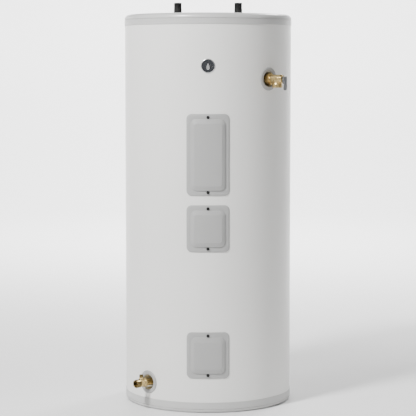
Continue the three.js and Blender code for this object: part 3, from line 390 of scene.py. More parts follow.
def put(name, mesh, finish, body=ROOT, replaced=()):
    """Makes a finished piece of a mesh that is already in place, and hangs it on its body."""
    piece = bpy.data.objects.new(name, mesh)
    bpy.context.scene.collection.objects.link(piece)
    mesh.materials.clear()
    mesh.materials.append(FINISHES[finish])
    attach(piece, body)
    if replaced:
        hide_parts(*replaced)
    return piece


def smooth(mesh, angle=35.0):
    mesh.polygons.foreach_set("use_smooth", [True] * len(mesh.polygons))
    mesh.set_sharp_from_angle(angle=math.radians(angle))
    return mesh


def tidy(mesh, merge=1e-6, outward=True):
    """Merges doubles, drops flat faces and turns every face outwards."""
    form = bmesh.new()
    form.from_mesh(mesh)
    bmesh.ops.remove_doubles(form, verts=form.verts, dist=merge)
    bmesh.ops.dissolve_degenerate(form, edges=form.edges, dist=merge / 2)
    if outward:
        bmesh.ops.recalc_face_normals(form, faces=form.faces)
    form.to_mesh(mesh)
    form.free()
    return mesh


def mesh_of(name, points, faces):
    mesh = bpy.data.meshes.new(name)
    mesh.from_pydata([tuple(p) for p in points], [], faces)
    return mesh


def grid_faces(rows, columns, wrap_columns=True, wrap_rows=False):
    """Quads between rows of points, each row holding the same number of points."""
    faces = []
    for i in range(rows if wrap_rows else rows - 1):
        for j in range(columns if wrap_columns else columns - 1):
            a, b = i * columns + j, i * columns + (j + 1) % columns
            c, d = (i + 1) % rows * columns + (j + 1) % columns, (i + 1) % rows * columns + j
            faces.append((a, b, c, d))
    return faces


def rounded(points, steps=5):
    """A profile whose points are (r, z) or (r, z, radius): each radius rounds that corner."""
    out = []
    count = len(points)
    for i, point in enumerate(points):
        here = Vector(point[:2])
        radius = point[2] if len(point) > 2 else 0.0
        if radius <= 0 or i in (0, count - 1):
            out.append(tuple(here))
            continue
        before, after = Vector(points[i - 1][:2]), Vector(points[i + 1][:2])
        first, last = (before - here).normalized(), (after - here).normalized()
        half = first.angle(last) / 2
        reach = min(radius / math.tan(half), 0.49 * (before - here).length, 0.49 * (after - here).length)
        start, end = here + first * reach, here + last * reach
        for k in range(steps + 1):
            t = k / steps
            out.append(tuple(start * (1 - t) ** 2 + here * 2 * t * (1 - t) + end * t ** 2))
    return out


def profile_mm(*points):
    """A rounded profile, from points and radii in millimetres."""
    return rounded([tuple(v * MM for v in p) for p in points])


def ball_profile(radius):
    """Half a circle, which makes a ball when it is spun."""
    return [(radius * math.cos(a), radius * math.sin(a)) for a in np.linspace(-math.pi / 2, math.pi / 2, 25)]


def evaluated(base, name):
    """The plain mesh of an object with its modifiers, which is then removed."""
    graph = bpy.context.evaluated_depsgraph_get()
    mesh = bpy.data.meshes.new_from_object(base.evaluated_get(graph), depsgraph=graph)
    mesh.name = name
    old = base.data
    bpy.data.objects.remove(base)
    if old.users == 0:
        bpy.data.meshes.remove(old)
    return mesh


def scratch(mesh):
    holder = bpy.data.objects.new(mesh.name + "_work", mesh)
    bpy.context.scene.collection.objects.link(holder)
    return holder


def combine(mesh, others, operation="DIFFERENCE"):
    """Cuts the other meshes out of this one, or joins them to it."""
    base = scratch(mesh)
    tools = [scratch(other) for other in others]
    for tool in tools:
        change = base.modifiers.new("combine", "BOOLEAN")
        change.operation = operation
        change.solver = "EXACT"
        change.object = tool
    result = evaluated(base, mesh.name)
    for tool in tools:
        data = tool.data
        bpy.data.objects.remove(tool)
        bpy.data.meshes.remove(data)
    return result


def cleaned(mesh, tools, angle=40.0, merge=1e-7):
    """Cuts the tools out of a mesh and cleans and smooths what is left."""
    return smooth(tidy(combine(mesh, tools), merge, False), angle)


def bevelled(mesh, name, width, angle):
    """Breaks the edges that are sharper than the angle."""
    base = scratch(mesh)
    soft = base.modifiers.new("edges", "BEVEL")
    soft.width = width
    soft.segments = 2
    soft.limit_method = "ANGLE"
    soft.angle_limit = math.radians(angle)
    return smooth(evaluated(base, name), 40)


def recast(mesh, voxel, rounds):
    """A casting's skin: the shape remeshed finely and smoothed, so that every corner is rounded."""
    base = scratch(mesh)
    change = base.modifiers.new("remesh", "REMESH")
    change.mode = "VOXEL"
    change.voxel_size = voxel
    relax = base.modifiers.new("relax", "SMOOTH")
    relax.factor = 0.5
    relax.iterations = rounds
    return smooth(evaluated(base, mesh.name), 60)


# ------------------------------------------------------------------ node trees that make shapes


def math_node(tree, operation, first, second=None):
    node = tree.nodes.new("ShaderNodeMath")
    node.operation = operation
    for socket, value in zip(node.inputs, (first, second)):
        if value is None:
            continue
        if isinstance(value, (int, float)):
            socket.default_value = value
        else:
            wire(tree, value, socket)
    return node.outputs["Value"]


def start_tree(name, numbers):
    """A geometry tree with a mesh in, a mesh out, a material and the named numbers."""
    tree = bpy.data.node_groups.new(name, "GeometryNodeTree")
    face = tree.interface
    face.new_socket("Geometry", in_out="OUTPUT", socket_type="NodeSocketGeometry")
    face.new_socket("Geometry", in_out="INPUT", socket_type="NodeSocketGeometry")
    for label, kind in numbers:
        face.new_socket(label, in_out="INPUT", socket_type="NodeSocket" + kind)
    face.new_socket("Material", in_out="INPUT", socket_type="NodeSocketMaterial")
    entry = tree.nodes.new("NodeGroupInput")
    return tree, entry.outputs


def end_tree(tree, entry, geometry):
    """Closes a tree: instances made real, the material set."""
    real = tree.nodes.new("GeometryNodeRealizeInstances")
    wire(tree, geometry, real.inputs["Geometry"])
    painted = tree.nodes.new("GeometryNodeSetMaterial")
    wire(tree, real.outputs["Geometry"], painted.inputs["Geometry"])
    wire(tree, entry["Material"], painted.inputs["Material"])
    wire(tree, painted.outputs["Geometry"], tree.nodes.new("NodeGroupOutput").inputs["Geometry"])
    return tree


def vector(tree, **parts):
    """A vector of the sockets given for X, Y and Z."""
    node = tree.nodes.new("ShaderNodeCombineXYZ")
    for axis, socket in parts.items():
        wire(tree, socket, node.inputs[axis])
    return node.outputs["Vector"]


def set_position(tree, geometry, position):
    node = tree.nodes.new("GeometryNodeSetPosition")
    wire(tree, geometry, node.inputs["Geometry"])
    wire(tree, position, node.inputs["Position"])
    return node.outputs["Geometry"]


def turned_tree():
    """Turns the object's own line of points about Z: each column of a grid is the line at one angle."""
    tree, entry = start_tree("turned_profile", [("Steps", "Int"), ("Merge", "Float")])
    size = tree.nodes.new("GeometryNodeAttributeDomainSize")
    wire(tree, entry["Geometry"], size.inputs["Geometry"])
    count = size.outputs["Point Count"]
    grid = tree.nodes.new("GeometryNodeMeshGrid")
    wire(tree, math_node(tree, "ADD", entry["Steps"], 1), grid.inputs["Vertices X"])
    wire(tree, count, grid.inputs["Vertices Y"])
    index = tree.nodes.new("GeometryNodeInputIndex").outputs["Index"]
    row = math_node(tree, "FLOOR", math_node(tree, "DIVIDE", math_node(tree, "ADD", index, 0.5), count))
    column = math_node(tree, "SUBTRACT", index, math_node(tree, "MULTIPLY", row, count))
    sample = tree.nodes.new("GeometryNodeSampleIndex")
    sample.data_type = "FLOAT_VECTOR"
    wire(tree, entry["Geometry"], sample.inputs["Geometry"])
    wire(tree, tree.nodes.new("GeometryNodeInputPosition").outputs["Position"], sample.inputs["Value"])
    wire(tree, column, sample.inputs["Index"])
    parts = tree.nodes.new("ShaderNodeSeparateXYZ")
    wire(tree, sample.outputs["Value"], parts.inputs["Vector"])
    angle = math_node(tree, "MULTIPLY", math_node(tree, "DIVIDE", row, entry["Steps"]), 2 * math.pi)
    radius, height = parts.outputs["X"], parts.outputs["Z"]
    side = math_node(tree, "MULTIPLY", radius, math_node(tree, "SINE", angle))
    back = math_node(tree, "MULTIPLY", radius, math_node(tree, "COSINE", angle))
    place = vector(tree, X=side, Y=math_node(tree, "MULTIPLY", back, -1), Z=height)
    merged = tree.nodes.new("GeometryNodeMergeByDistance")
    wire(tree, set_position(tree, grid.outputs["Mesh"], place), merged.inputs["Geometry"])
    wire(tree, entry["Merge"], merged.inputs["Distance"])
    return end_tree(tree, entry, merged.outputs["Geometry"])


def thread_tree():
    """Cuts a screw thread: points outside a radius sink by a wave that climbs once each turn."""
    sizes = ("Pitch", "Depth", "Start", "End", "Inside Radius")
    tree, entry = start_tree("screw_thread", [(label, "Float") for label in sizes])
    position = tree.nodes.new("GeometryNodeInputPosition").outputs["Position"]
    parts = tree.nodes.new("ShaderNodeSeparateXYZ")
    wire(tree, position, parts.inputs["Vector"])
    x, y, z = parts.outputs["X"], parts.outputs["Y"], parts.outputs["Z"]
    squares = math_node(tree, "ADD", math_node(tree, "MULTIPLY", x, x), math_node(tree, "MULTIPLY", y, y))
    radius = math_node(tree, "SQRT", squares)
    turn = math_node(tree, "DIVIDE", math_node(tree, "ARCTAN2", y, x), 2 * math.pi)
    phase = math_node(tree, "SUBTRACT", math_node(tree, "DIVIDE", z, entry["Pitch"]), turn)
    wave = math_node(tree, "PINGPONG", phase, 0.5)
    edge = math_node(tree, "MULTIPLY", entry["Pitch"], 1.2)
    rise = math_node(tree, "DIVIDE", math_node(tree, "SUBTRACT", z, entry["Start"]), edge)
    fall = math_node(tree, "DIVIDE", math_node(tree, "SUBTRACT", entry["End"], z), edge)
    fade = math_node(tree, "MINIMUM", math_node(tree, "MINIMUM", rise, fall), 1.0)
    outside = math_node(tree, "GREATER_THAN", radius, entry["Inside Radius"])
    amount = math_node(tree, "MULTIPLY", math_node(tree, "MAXIMUM", fade, 0.0), outside)
    sunk = math_node(tree, "MULTIPLY", math_node(tree, "MULTIPLY", wave, 2.0), entry["Depth"])
    share = math_node(tree, "DIVIDE", math_node(tree, "MULTIPLY", sunk, amount), radius)
    factor = math_node(tree, "SUBTRACT", 1.0, share)
    across, back = math_node(tree, "MULTIPLY", x, factor), math_node(tree, "MULTIPLY", y, factor)
    place = vector(tree, X=across, Y=back, Z=z)
    return end_tree(tree, entry, set_position(tree, entry["Geometry"], place))


def spring_tree():
    """Winds round wire into a compression spring along Z."""
    sizes = ("Turns", "Radius", "Wire", "Height")
    tree, entry = start_tree("compression_spring", [(label, "Float") for label in sizes])
    coil = tree.nodes.new("GeometryNodeCurveSpiral")
    coil.inputs["Resolution"].default_value = 40
    wire(tree, entry["Turns"], coil.inputs["Rotations"])
    wire(tree, entry["Radius"], coil.inputs["Start Radius"])
    wire(tree, entry["Radius"], coil.inputs["End Radius"])
    wire(tree, entry["Height"], coil.inputs["Height"])
    section = tree.nodes.new("GeometryNodeCurvePrimitiveCircle")
    section.inputs["Resolution"].default_value = 12
    wire(tree, entry["Wire"], section.inputs["Radius"])
    swept = tree.nodes.new("GeometryNodeCurveToMesh")
    swept.inputs["Fill Caps"].default_value = True
    wire(tree, coil.outputs["Curve"], swept.inputs["Curve"])
    wire(tree, section.outputs["Curve"], swept.inputs["Profile Curve"])
    return end_tree(tree, entry, swept.outputs["Mesh"])


def screw_tree():
    """Sets a washer-head screw on each of the object's points, facing the heater's front."""
    sizes = ("Washer", "Head", "Washer Thickness", "Head Height", "Shank", "Length")
    tree, entry = start_tree("washer_head_screws", [(label, "Float") for label in sizes])

    def bar(sides, radius, depth, lift, turn=0.0):
        node = tree.nodes.new("GeometryNodeMeshCylinder")
        node.inputs["Vertices"].default_value = sides
        wire(tree, radius, node.inputs["Radius"])
        wire(tree, depth, node.inputs["Depth"])
        change = tree.nodes.new("GeometryNodeTransform")
        wire(tree, node.outputs["Mesh"], change.inputs["Geometry"])
        wire(tree, vector(tree, Z=lift), change.inputs["Translation"])
        change.inputs["Rotation"].default_value = (0, 0, turn)
        return change.outputs["Geometry"]

    def half(value):
        return math_node(tree, "MULTIPLY", value, 0.5)

    washer, thick = entry["Washer"], entry["Washer Thickness"]
    collar = bar(40, half(washer), thick, half(thick))
    corner = math_node(tree, "DIVIDE", entry["Head"], math.sqrt(3))
    crown = math_node(tree, "ADD", thick, half(entry["Head Height"]))
    head = bar(6, corner, entry["Head Height"], crown, math.pi / 6)
    below = math_node(tree, "MULTIPLY", entry["Length"], -0.5)
    shank = bar(20, half(entry["Shank"]), entry["Length"], below)
    joined = tree.nodes.new("GeometryNodeMeshBoolean")
    joined.operation = "UNION"
    for part in (shank, head, collar):
        wire(tree, part, joined.inputs["Mesh 2"])
    spots = tree.nodes.new("GeometryNodeInstanceOnPoints")
    wire(tree, entry["Geometry"], spots.inputs["Points"])
    wire(tree, joined.outputs["Mesh"], spots.inputs["Instance"])
    spots.inputs["Rotation"].default_value = (math.pi / 2, 0, 0)
    return end_tree(tree, entry, spots.outputs["Instances"])


TREES = {}


def grown(name, mesh, tree_name, finish, **values):
    """The mesh that a node tree makes of a starting mesh, with the tree's inputs set by name."""
    base = scratch(mesh)
    change = base.modifiers.new(tree_name, "NODES")
    change.node_group = TREES[tree_name]
    wanted = {key.replace("_", " ").title(): value for key, value in values.items()}
    wanted["Material"] = FINISHES[finish]
    for item in change.node_group.interface.items_tree:
        if item.item_type == "SOCKET" and item.in_out == "INPUT" and item.name in wanted:
            change[item.identifier] = wanted.pop(item.name)
    if wanted:
        raise RuntimeError(f"{tree_name} has no input named {sorted(wanted)}")
    return evaluated(base, name)


def spun(name, profile, finish, steps=96, closed=None):
    """A turned piece: a line of (r, z) points swung round Z by the turning tree."""
    closed = profile[0][0] > 1e-9 if closed is None else closed
    line = list(profile) + ([profile[0]] if closed else [])
    points = [(r, 0, z) for r, z in line]
    edges = [(i, i + 1) for i in range(len(points) - 1)]
    mesh = bpy.data.meshes.new(name)
    mesh.from_pydata(points, edges, [])
    made = grown(name, mesh, "turned_profile", finish, steps=steps, merge=2e-6)
    return smooth(tidy(made, 2e-6))


def threaded(mesh, finish, pitch, depth, start, end, inside):
    name = mesh.name
    return smooth(grown(
        name, mesh, "screw_thread", finish, pitch=pitch, depth=depth, start=start, end=end,
        inside_radius=inside), 50)


def ringed(low, high, pitch):
    """Heights close enough together to carry a thread, eight for each turn."""
    count = int((high - low) / pitch * 8)
    return [low + (high - low) * i / count for i in range(count + 1)]


def moved(mesh, matrix):
    mesh.transform(matrix)
    return mesh


def bar_mesh(name, outline, low, high):
    """A straight bar along Z of any outline."""
    count = len(outline)
    points = [(x, y, low) for x, y in outline] + [(x, y, high) for x, y in outline]
    faces = [(i, (i + 1) % count, count + (i + 1) % count, count + i) for i in range(count)]
    faces += [tuple(range(count - 1, -1, -1)), tuple(range(count, 2 * count))]
    return tidy(mesh_of(name, points, faces))


def circle(radius, steps):
    angles = [2 * math.pi * i / steps for i in range(steps)]
    return [(radius * math.cos(a), radius * math.sin(a)) for a in angles]


def oblong(half_width, half_height):
    return [(-half_width, -half_height), (half_width, -half_height), (half_width, half_height),
            (-half_width, half_height)]


def shift(x=0.0, y=0.0, z=0.0):
    return Matrix.Translation((x, y, z))


def round_bar(radius, steps, low, high, place):
    """A round bar from low to high along a place's Z, most often a tool that cuts a hole."""
    return moved(bar_mesh("bar", circle(radius, steps), low, high), place)


def screw_holes(place, half_height, low, high):
    """The tools that cut the holes of a cover's two screws."""
    reach = half_height - SCREW_INSET
    return [round_bar(SCREW_HOLE, 20, low, high, place @ shift(y=side * reach)) for side in (-1, 1)]


def hexagon(flats):
    return circle(flats / math.sqrt(3), 6)


def rounded_box(half_width, half_height, radius, corner=8, level=10, upright=2):
    """A rounded rectangle as points, with its level edges divided so that it can be bent."""
    ring = []
    centre_x, centre_y = half_width - radius, half_height - radius
    for k, (sx, sy) in enumerate(((1, -1), (1, 1), (-1, 1), (-1, -1))):
        start = (k - 1) * math.pi / 2
        for i in range(corner + 1):
            angle = start + i / corner * math.pi / 2
            ring.append((sx * centre_x + radius * math.cos(angle), sy * centre_y + radius * math.sin(angle)))
        if k % 2:
            ring += [(sx * centre_x * (1 - 2 * i / level), sy * half_height) for i in range(1, level)]
        else:
            ring += [(sx * half_width, sy * centre_y * (1 - 2 * i / upright)) for i in range(1, upright)]
    return ring


def bent(name, layers, matrix, loop=False):
    """Skins rings of (x, y) points at stand-offs from the jacket into a piece that follows its curve."""
    points = []
    for outline, stand in layers:
        for x, y in outline:
            angle = x / JACKET_RADIUS
            reach = JACKET_RADIUS + stand
            points.append((reach * math.sin(angle), y, reach * math.cos(angle)))
    count = len(layers[0][0])
    made = mesh_of(name, points, grid_faces(len(layers), count, wrap_rows=loop))
    return moved(smooth(tidy(made, 1e-7), 40), matrix)


def creased(radius, edge, way, depth):
    """The line of a pressed crease, 2 mm wide, that starts at the height edge and runs up or down."""
    far, slope, sunk = edge + way * 2 * MM, way * 0.6 * MM, radius - depth
    return [(radius, far), (sunk, far - slope), (sunk, edge + slope), (radius, edge)]


def shrunk(outline, share):
    """The outline drawn in towards its upright middle line, and a little at its ends."""
    return [(x * share, y * (0.9 + 0.1 * share)) for x, y in outline]


def screws(name, points, finish, head_height, length_below):
    """Washer-head screws that face the heater's front, one on each point."""
    trim = bpy.context.scene.heater_trim
    return grown(name, mesh_of(name, points, []), "washer_head_screws", finish, washer=trim.washer,
                 head=trim.head, washer_thickness=0.8 * MM, head_height=head_height, shank=3.8 * MM,
                 length=length_below)


# ------------------------------------------------------------------ operators


class HEATER_OT_stage(bpy.types.Operator):
    """Sets the pale floor, the soft lights and the camera"""
    bl_idname = "heater.stage"
    bl_label = "Stage"

    def execute(self, context):
        settings = context.scene.heater_stage
        floor = surface("studio_floor", tuple(settings.floor), 0.55, mottle=0.004, mottle_scale=0.8,
                        grain_scale=300, grain=0.00003)
        room, sweep, wall, sides = 9.0, 2.0, 4.0, 96
        line = [(0.4, 0.0), (room - sweep, 0.0)]
        for i in range(1, 17):
            angle = i / 16 * math.pi / 2
            line.append((room - sweep + sweep * math.sin(angle), sweep - sweep * math.cos(angle)))
        line.append((room, wall))
        points = [(x, y, z) for r, z in line for x, y in circle(r, sides)]
        faces = grid_faces(len(line), sides) + [tuple(range(sides))[::-1]]
        mesh = mesh_of("studio_floor", points, faces)
        mesh.materials.append(floor)
        mesh.polygons.foreach_set("use_smooth", [True] * len(mesh.polygons))
        ground = bpy.data.objects.new("studio_floor", mesh)
        context.scene.collection.objects.link(ground)

        world = bpy.data.worlds.new("studio")
        world.use_nodes = True
        sky = world.node_tree.nodes["Background"].inputs
        sky["Color"].default_value = (1, 1, 1, 1)
        sky["Strength"].default_value = 0.22
        context.scene.world = world
        # name, place, what it points at, size and power of each lamp
        for name, place, aim, size, power in (
            ("key", (-2.1, -2.5, 3.9), (0, 0, 0.6), 0.7, 370),
            ("back", (1.8, 3.0, 4.0), (0, 0, 0.6), 1.0, 150),
            ("backdrop", (0, 4.4, 4.6), (0, 8.6, 0.8), 3.0, 1150),
        ):
            lamp = bpy.data.lights.new(name, "AREA")
            lamp.size = size
            lamp.energy = power
            holder = bpy.data.objects.new(name, lamp)
            holder.location = place
            holder.rotation_euler = (Vector(aim) - Vector(place)).to_track_quat("-Z", "Y").to_euler()
            context.scene.collection.objects.link(holder)

        lens = bpy.data.cameras.new("camera")
        lens.lens = settings.lens
        lens.sensor_width = 36
        lens.dof.use_dof = False
        camera = bpy.data.objects.new("camera", lens)
        reach, rise = settings.distance, settings.elevation
        camera.location = (0, -reach * math.cos(rise), settings.aim + reach * math.sin(rise))
        camera.rotation_euler = (math.pi / 2 - rise, 0, 0)
        context.scene.collection.objects.link(camera)
        context.scene.camera = camera
        return {"FINISHED"}


class HEATER_OT_jacket(bpy.types.Operator):
    """Rolls the jacket, cuts its windows and valve holes and locks its seam"""
    bl_idname = "heater.jacket"
    bl_label = "Jacket"

    def execute(self, context):
        settings = context.scene.heater_shell
        inner = JACKET_RADIUS - settings.sheet
        low, high = JACKET_LOW.z, JACKET_HIGH.z
        section = [(inner, low), (JACKET_RADIUS, low), (JACKET_RADIUS, high), (inner, high)]
        wall = spun("jacket_shell", section, "jacket_paint", settings.steps)
        tools = []
        for node in COVERS:
            bottom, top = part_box(node)
            half_height = (top.z - bottom.z) / 2
            place = wall_frame(0, (top.z + bottom.z) / 2)
            half_width = top.x * ALONG_CURVE - WINDOW_INSET
            outline = rounded_box(half_width, half_height - WINDOW_INSET, 9 * MM, 6, 1, 1)
            tools.append(moved(bar_mesh("window", outline, *THROUGH_WALL), place))
            tools += screw_holes(place, half_height, *THROUGH_WALL)
        for angle, z in (RELIEF, DRAIN):
            tools.append(round_bar(VALVE_HOLE, 72, *THROUGH_WALL, wall_frame(angle, z)))
        put("jacket_shell", cleaned(wall, tools, 30, 1e-6), "jacket_paint", replaced=["jacket"])

        half = settings.seam_width / 2
        top, bottom = LID_LOW.z - 1 * MM, PAN_TOP + 1 * MM
        tall = (top - bottom) / 2
        ring = rounded_box(half, tall, 1.2 * MM, 4, 4, 1)
        inset = rounded_box(half - 1.2 * MM, tall - 0.6 * MM, 0.6 * MM, 4, 4, 1)
        stands = [(shrunk(ring, 0), 0.05 * MM), (ring, 0.05 * MM), (ring, 0.35 * MM), (inset, 0.7 * MM),
                  (shrunk(inset, 0), 0.7 * MM)]
        seam = bent("jacket_seam", stands, wall_frame(math.pi, (top + bottom) / 2))
        put("jacket_seam", seam, "jacket_paint")
        return {"FINISHED"}


class HEATER_OT_lid(bpy.types.Operator):
    """Draws the lid with its rounded edge, flat rim and sunk deck, and cuts its holes"""
    bl_idname = "heater.lid"
    bl_label = "Lid"

    def execute(self, context):
        settings = context.scene.heater_shell
        sheet, corner = settings.sheet, settings.lid_corner
        outer, top, low = COAT_RADIUS, BODY_HEIGHT, LID_LOW.z
        bend, centre = outer - corner, top - corner
        arc = [(math.cos(a), math.sin(a)) for a in np.linspace(0, math.pi / 2, 15)]
        rim = bend - settings.lid_rim
        deck = top - settings.lid_sink
        outside = [(outer - 0.3 * MM, low), (outer, low + 0.4 * MM)]
        outside += creased(outer, centre - 0.3 * MM, -1, settings.crease)
        outside += [(bend + corner * c, centre + corner * s) for c, s in arc]
        outside += rounded([
            (bend, top), (rim, top, 1.5 * MM), (rim - 2 * MM, deck, 1.6 * MM), (rim - 30 * MM, deck)])[1:]
        bead = rim - 46 * MM
        outside += rounded([
            (bead + 9 * MM, deck), (bead + 6 * MM, deck, 3 * MM), (bead + 3 * MM, deck + 1.2 * MM, 2 * MM),
            (bead, deck + 1.2 * MM, 2 * MM), (bead - 3 * MM, deck, 3 * MM), (bead - 6 * MM, deck)])
        outside += [(0, deck)]
        inside = [(0, deck - sheet), (rim - 3.2 * MM, deck - sheet), (rim - sheet, top - sheet)]
        inside += [(bend + (corner - sheet) * c, centre + (corner - sheet) * s) for c, s in reversed(arc)]
        inside += creased(outer - sheet, centre - 0.3 * MM, -1, settings.crease)[::-1]
        inside += [(outer - sheet, low)]
        lid = spun("lid", inside + outside, "pan_paint", settings.steps, closed=False)
        through = (deck - 0.02, deck + 0.02)
        tools = []
        for node, radius in (("hot_grommet", 16 * MM), ("cold_grommet", 16 * MM), ("anode_cap", 22 * MM)):
            spot = middle(node)
            tools.append(round_bar(radius, 56, *through, shift(spot.x, spot.y)))
        box_low, box_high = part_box("junction_box")
        gap, left = 6 * MM, 16 * MM
        tools.append(bar_mesh("opening", [
            (box_low.x + left, box_low.y + gap), (box_high.x - gap, box_low.y + gap),
            (box_high.x - gap, box_high.y - gap), (box_low.x + left, box_high.y - gap)], *through))
        put("lid", cleaned(lid, tools, 30, 1e-6), "pan_paint", replaced=["top_cover"])
        return {"FINISHED"}


class HEATER_OT_pan(bpy.types.Operator):
    """Draws the base pan with its rounded lower edge"""
    bl_idname = "heater.pan"
    bl_label = "Base Pan"

    def execute(self, context):
        settings = context.scene.heater_shell
        sheet, corner = settings.sheet, settings.pan_corner
        outer, top, floor = COAT_RADIUS, PAN_TOP, 1.2 * MM
        bend = outer - corner
        arc = [(math.sin(a), -math.cos(a)) for a in np.linspace(0, math.pi / 2, 13)]
        outside = [(0, 0)] + [(bend + corner * s, corner + corner * c) for s, c in arc]
        outside += creased(outer, corner + 0.3 * MM, 1, settings.crease)[::-1]
        outside += rounded([(outer, corner + 3 * MM), (outer, top, 0.4 * MM), (outer - sheet, top, 0.4 * MM),
                            (outer - sheet, corner + 3 * MM)], 3)[1:]
        outside += creased(outer - sheet, corner + 0.3 * MM, 1, settings.crease)
        inner = corner - sheet
        inside = [(bend + inner * s, corner + inner * c) for s, c in reversed(arc)][1:]
        inside[-1] = (bend, floor)
        line = outside + inside + [(0, floor)]
        pan = spun("base_pan_drawn", line, "pan_paint", settings.steps, closed=False)
        put("base_pan_drawn", pan, "pan_paint", replaced=["base_pan"])
        return {"FINISHED"}


class HEATER_OT_covers(bpy.types.Operator):
    """Moulds the three access covers round the jacket's curve"""
    bl_idname = "heater.covers"
    bl_label = "Access Covers"

    def execute(self, context):
        settings = context.scene.heater_cover
        wall, foot = settings.wall, 0.5 * MM
        flange, panel = settings.flange / MM, (settings.flange + settings.raised) / MM
        # inset at the sides, inset at the ends, corner radius and height of each line of the cover
        lines = np.array([
            (0.0, 0.0, 16.8, foot / MM + 0.4), (0.5, 0.6, 16.6, flange - 0.8), (4.2, 6.6, 14.6, flange),
            (14.3, 16.3, 18.6, flange), (14.8, 17.0, 18.3, flange + 2.6), (26.6, 31.6, 7.4, panel)]) * MM
        # how far in each ring of the skin lies, close together where the cover bends
        insets = [0, 0.15, 0.35, 0.6, 1, 2, 3, 3.7, 4.2, 4.7, 5.4, 6.8, 9, 12, 13.2, 13.8, 14.1, 14.3, 14.45,
                  14.6, 14.75, 14.9, 15.2, 15.8, 17.4, 20, 23, 25.2, 26.1, 26.6, 27.1, 27.8, 30]

        def height(inset):
            reach = np.linspace(inset - settings.soften, inset + settings.soften, 9)
            return float(np.interp(reach, lines[:, 0], lines[:, 3]).mean())

        for node in COVERS:
            bottom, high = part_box(node)
            half_height = (high.z - bottom.z) / 2

            def ring(inset):
                side = min(inset, lines[-1, 0])
                end, radius = (float(np.interp(side, lines[:, 0], lines[:, k])) for k in (1, 2))
                extra = inset - side
                corner = max(radius - extra, 3 * MM)
                return rounded_box(COVER_HALF_WIDTH - inset, half_height - end - extra, corner, 9, 12, 3)

            front = [(ring(i * MM), height(i * MM)) for i in insets]
            centre = front[-1]
            front += [(shrunk(centre[0], k), centre[1]) for k in (0.75, 0.5, 0.25, 0)]
            back = []
            for inset in insets:
                if inset * MM < wall:
                    continue
                back.append((ring(inset * MM), max(height(inset * MM - wall * 0.6) - wall, foot)))
            core = back[-1]
            back += [(shrunk(core[0], k), core[1]) for k in (0.75, 0.5, 0.25, 0)]
            edge = [(ring(wall), foot), (ring(0.2 * MM), foot), (ring(0), foot + 0.2 * MM)]
            place = wall_frame(0, (high.z + bottom.z) / 2)
            shell = bent(node + "_moulding", back[::-1] + edge + front, place)
            holes = screw_holes(place, half_height, JACKET_RADIUS - 0.01, JACKET_RADIUS + 0.02)
            put(node + "_moulding", cleaned(shell, holes), "cover_plastic", replaced=[node])
        return {"FINISHED"}


class HEATER_OT_screws(bpy.types.Operator):
    """Sets the washer-head screws of the access covers"""
    bl_idname = "heater.screws"
    bl_label = "Cover Screws"

    def execute(self, context):
        nodes = [f"{cover}_screw_{end}" for cover in COVERS for end in ("top", "bottom")]
        seat = JACKET_RADIUS + 3.3 * MM
        spots = [(0, -seat, middle(node).z) for node in nodes]
        made = screws("cover_screws", spots, "black_steel", 2.4 * MM, 9 * MM)
        put("cover_screws", smooth(tidy(made, 1e-7), 30), "black_steel", replaced=nodes)
        return {"FINISHED"}


class HEATER_OT_badge(bpy.types.Operator):
    """Makes the round badge: a dark disc, a bright rim and a plain water drop"""
    bl_idname = "heater.badge"
    bl_label = "Badge"

    def execute(self, context):
        low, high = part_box("badge")
        radius = (high.z - low.z) / 2
        place = wall_frame(0, (high.z + low.z) / 2)
        rim = radius - 2.2 * MM
        disc = circle(rim - 0.1 * MM, 72)
        layers = [(shrunk(disc, k), 0.5 * MM) for k in (0, 0.5)] + [(disc, 0.5 * MM), (disc, 1.2 * MM)]
        layers += [(shrunk(disc, k), 1.2 * MM) for k in (0.6, 0.3, 0)]
        put("badge_disc", bent("badge_disc", layers, place), "badge_enamel", replaced=["badge"])
        section = rounded([(rim, 0.5), (radius, 0.5), (radius, 1.5, 0.6), (radius - 0.9 * MM, 2.0, 0.4),
                           (rim + 0.4 * MM, 2.0, 0.4), (rim, 1.3, 0.2), (rim, 0.5)], 3)
        layers = [(circle(r, 72), z * MM) for r, z in section[:-1]]
        put("badge_rim", bent("badge_rim", layers, place, loop=True), "badge_metal")
        drop = []
        for i in range(48):
            t = 2 * math.pi * i / 48
            drop.append((7.2 * MM * math.sin(t) * math.sin(t / 2) ** 1.4, 10.5 * MM * math.cos(t) - 0.8 * MM))
        inner = [(x * 0.9, y * 0.93) for x, y in drop]
        layers = [(shrunk(drop, 0), 1.25 * MM), (drop, 1.25 * MM), (drop, 1.6 * MM), (inner, 1.9 * MM),
                  (shrunk(inner, 0), 1.9 * MM)]
        put("badge_drop", bent("badge_drop", layers, place), "badge_metal")
        return {"FINISHED"}


class HEATER_OT_trim_rings(bpy.types.Operator):
    """Moulds the trim rings round the two valves' holes"""
    bl_idname = "heater.trim_rings"
    bl_label = "Trim Rings"

    def execute(self, context):
        outer, inner = 38 * MM, VALVE_HOLE
        section = [(inner, 0.5), (outer, 0.5), (outer, 1.3, 0.4), (outer - 2.4 * MM, 3.0, 1.2),
                   (inner + 2.2 * MM, 3.0, 1.0), (inner, 1.6, 0.5), (inner, 0.5)]
        scaled = [(p[0], p[1] * MM, *(r * MM for r in p[2:])) for p in section]
        layers = [(circle(r, 96), stand) for r, stand in rounded(scaled)[:-1]]
        for node, (angle, z) in (("relief_escutcheon", RELIEF), ("drain_escutcheon", DRAIN)):
            ring = bent(node + "_ring", layers, wall_frame(angle, z), loop=True)
            put(node + "_ring", ring, "cover_plastic", replaced=[node])
        return {"FINISHED"}


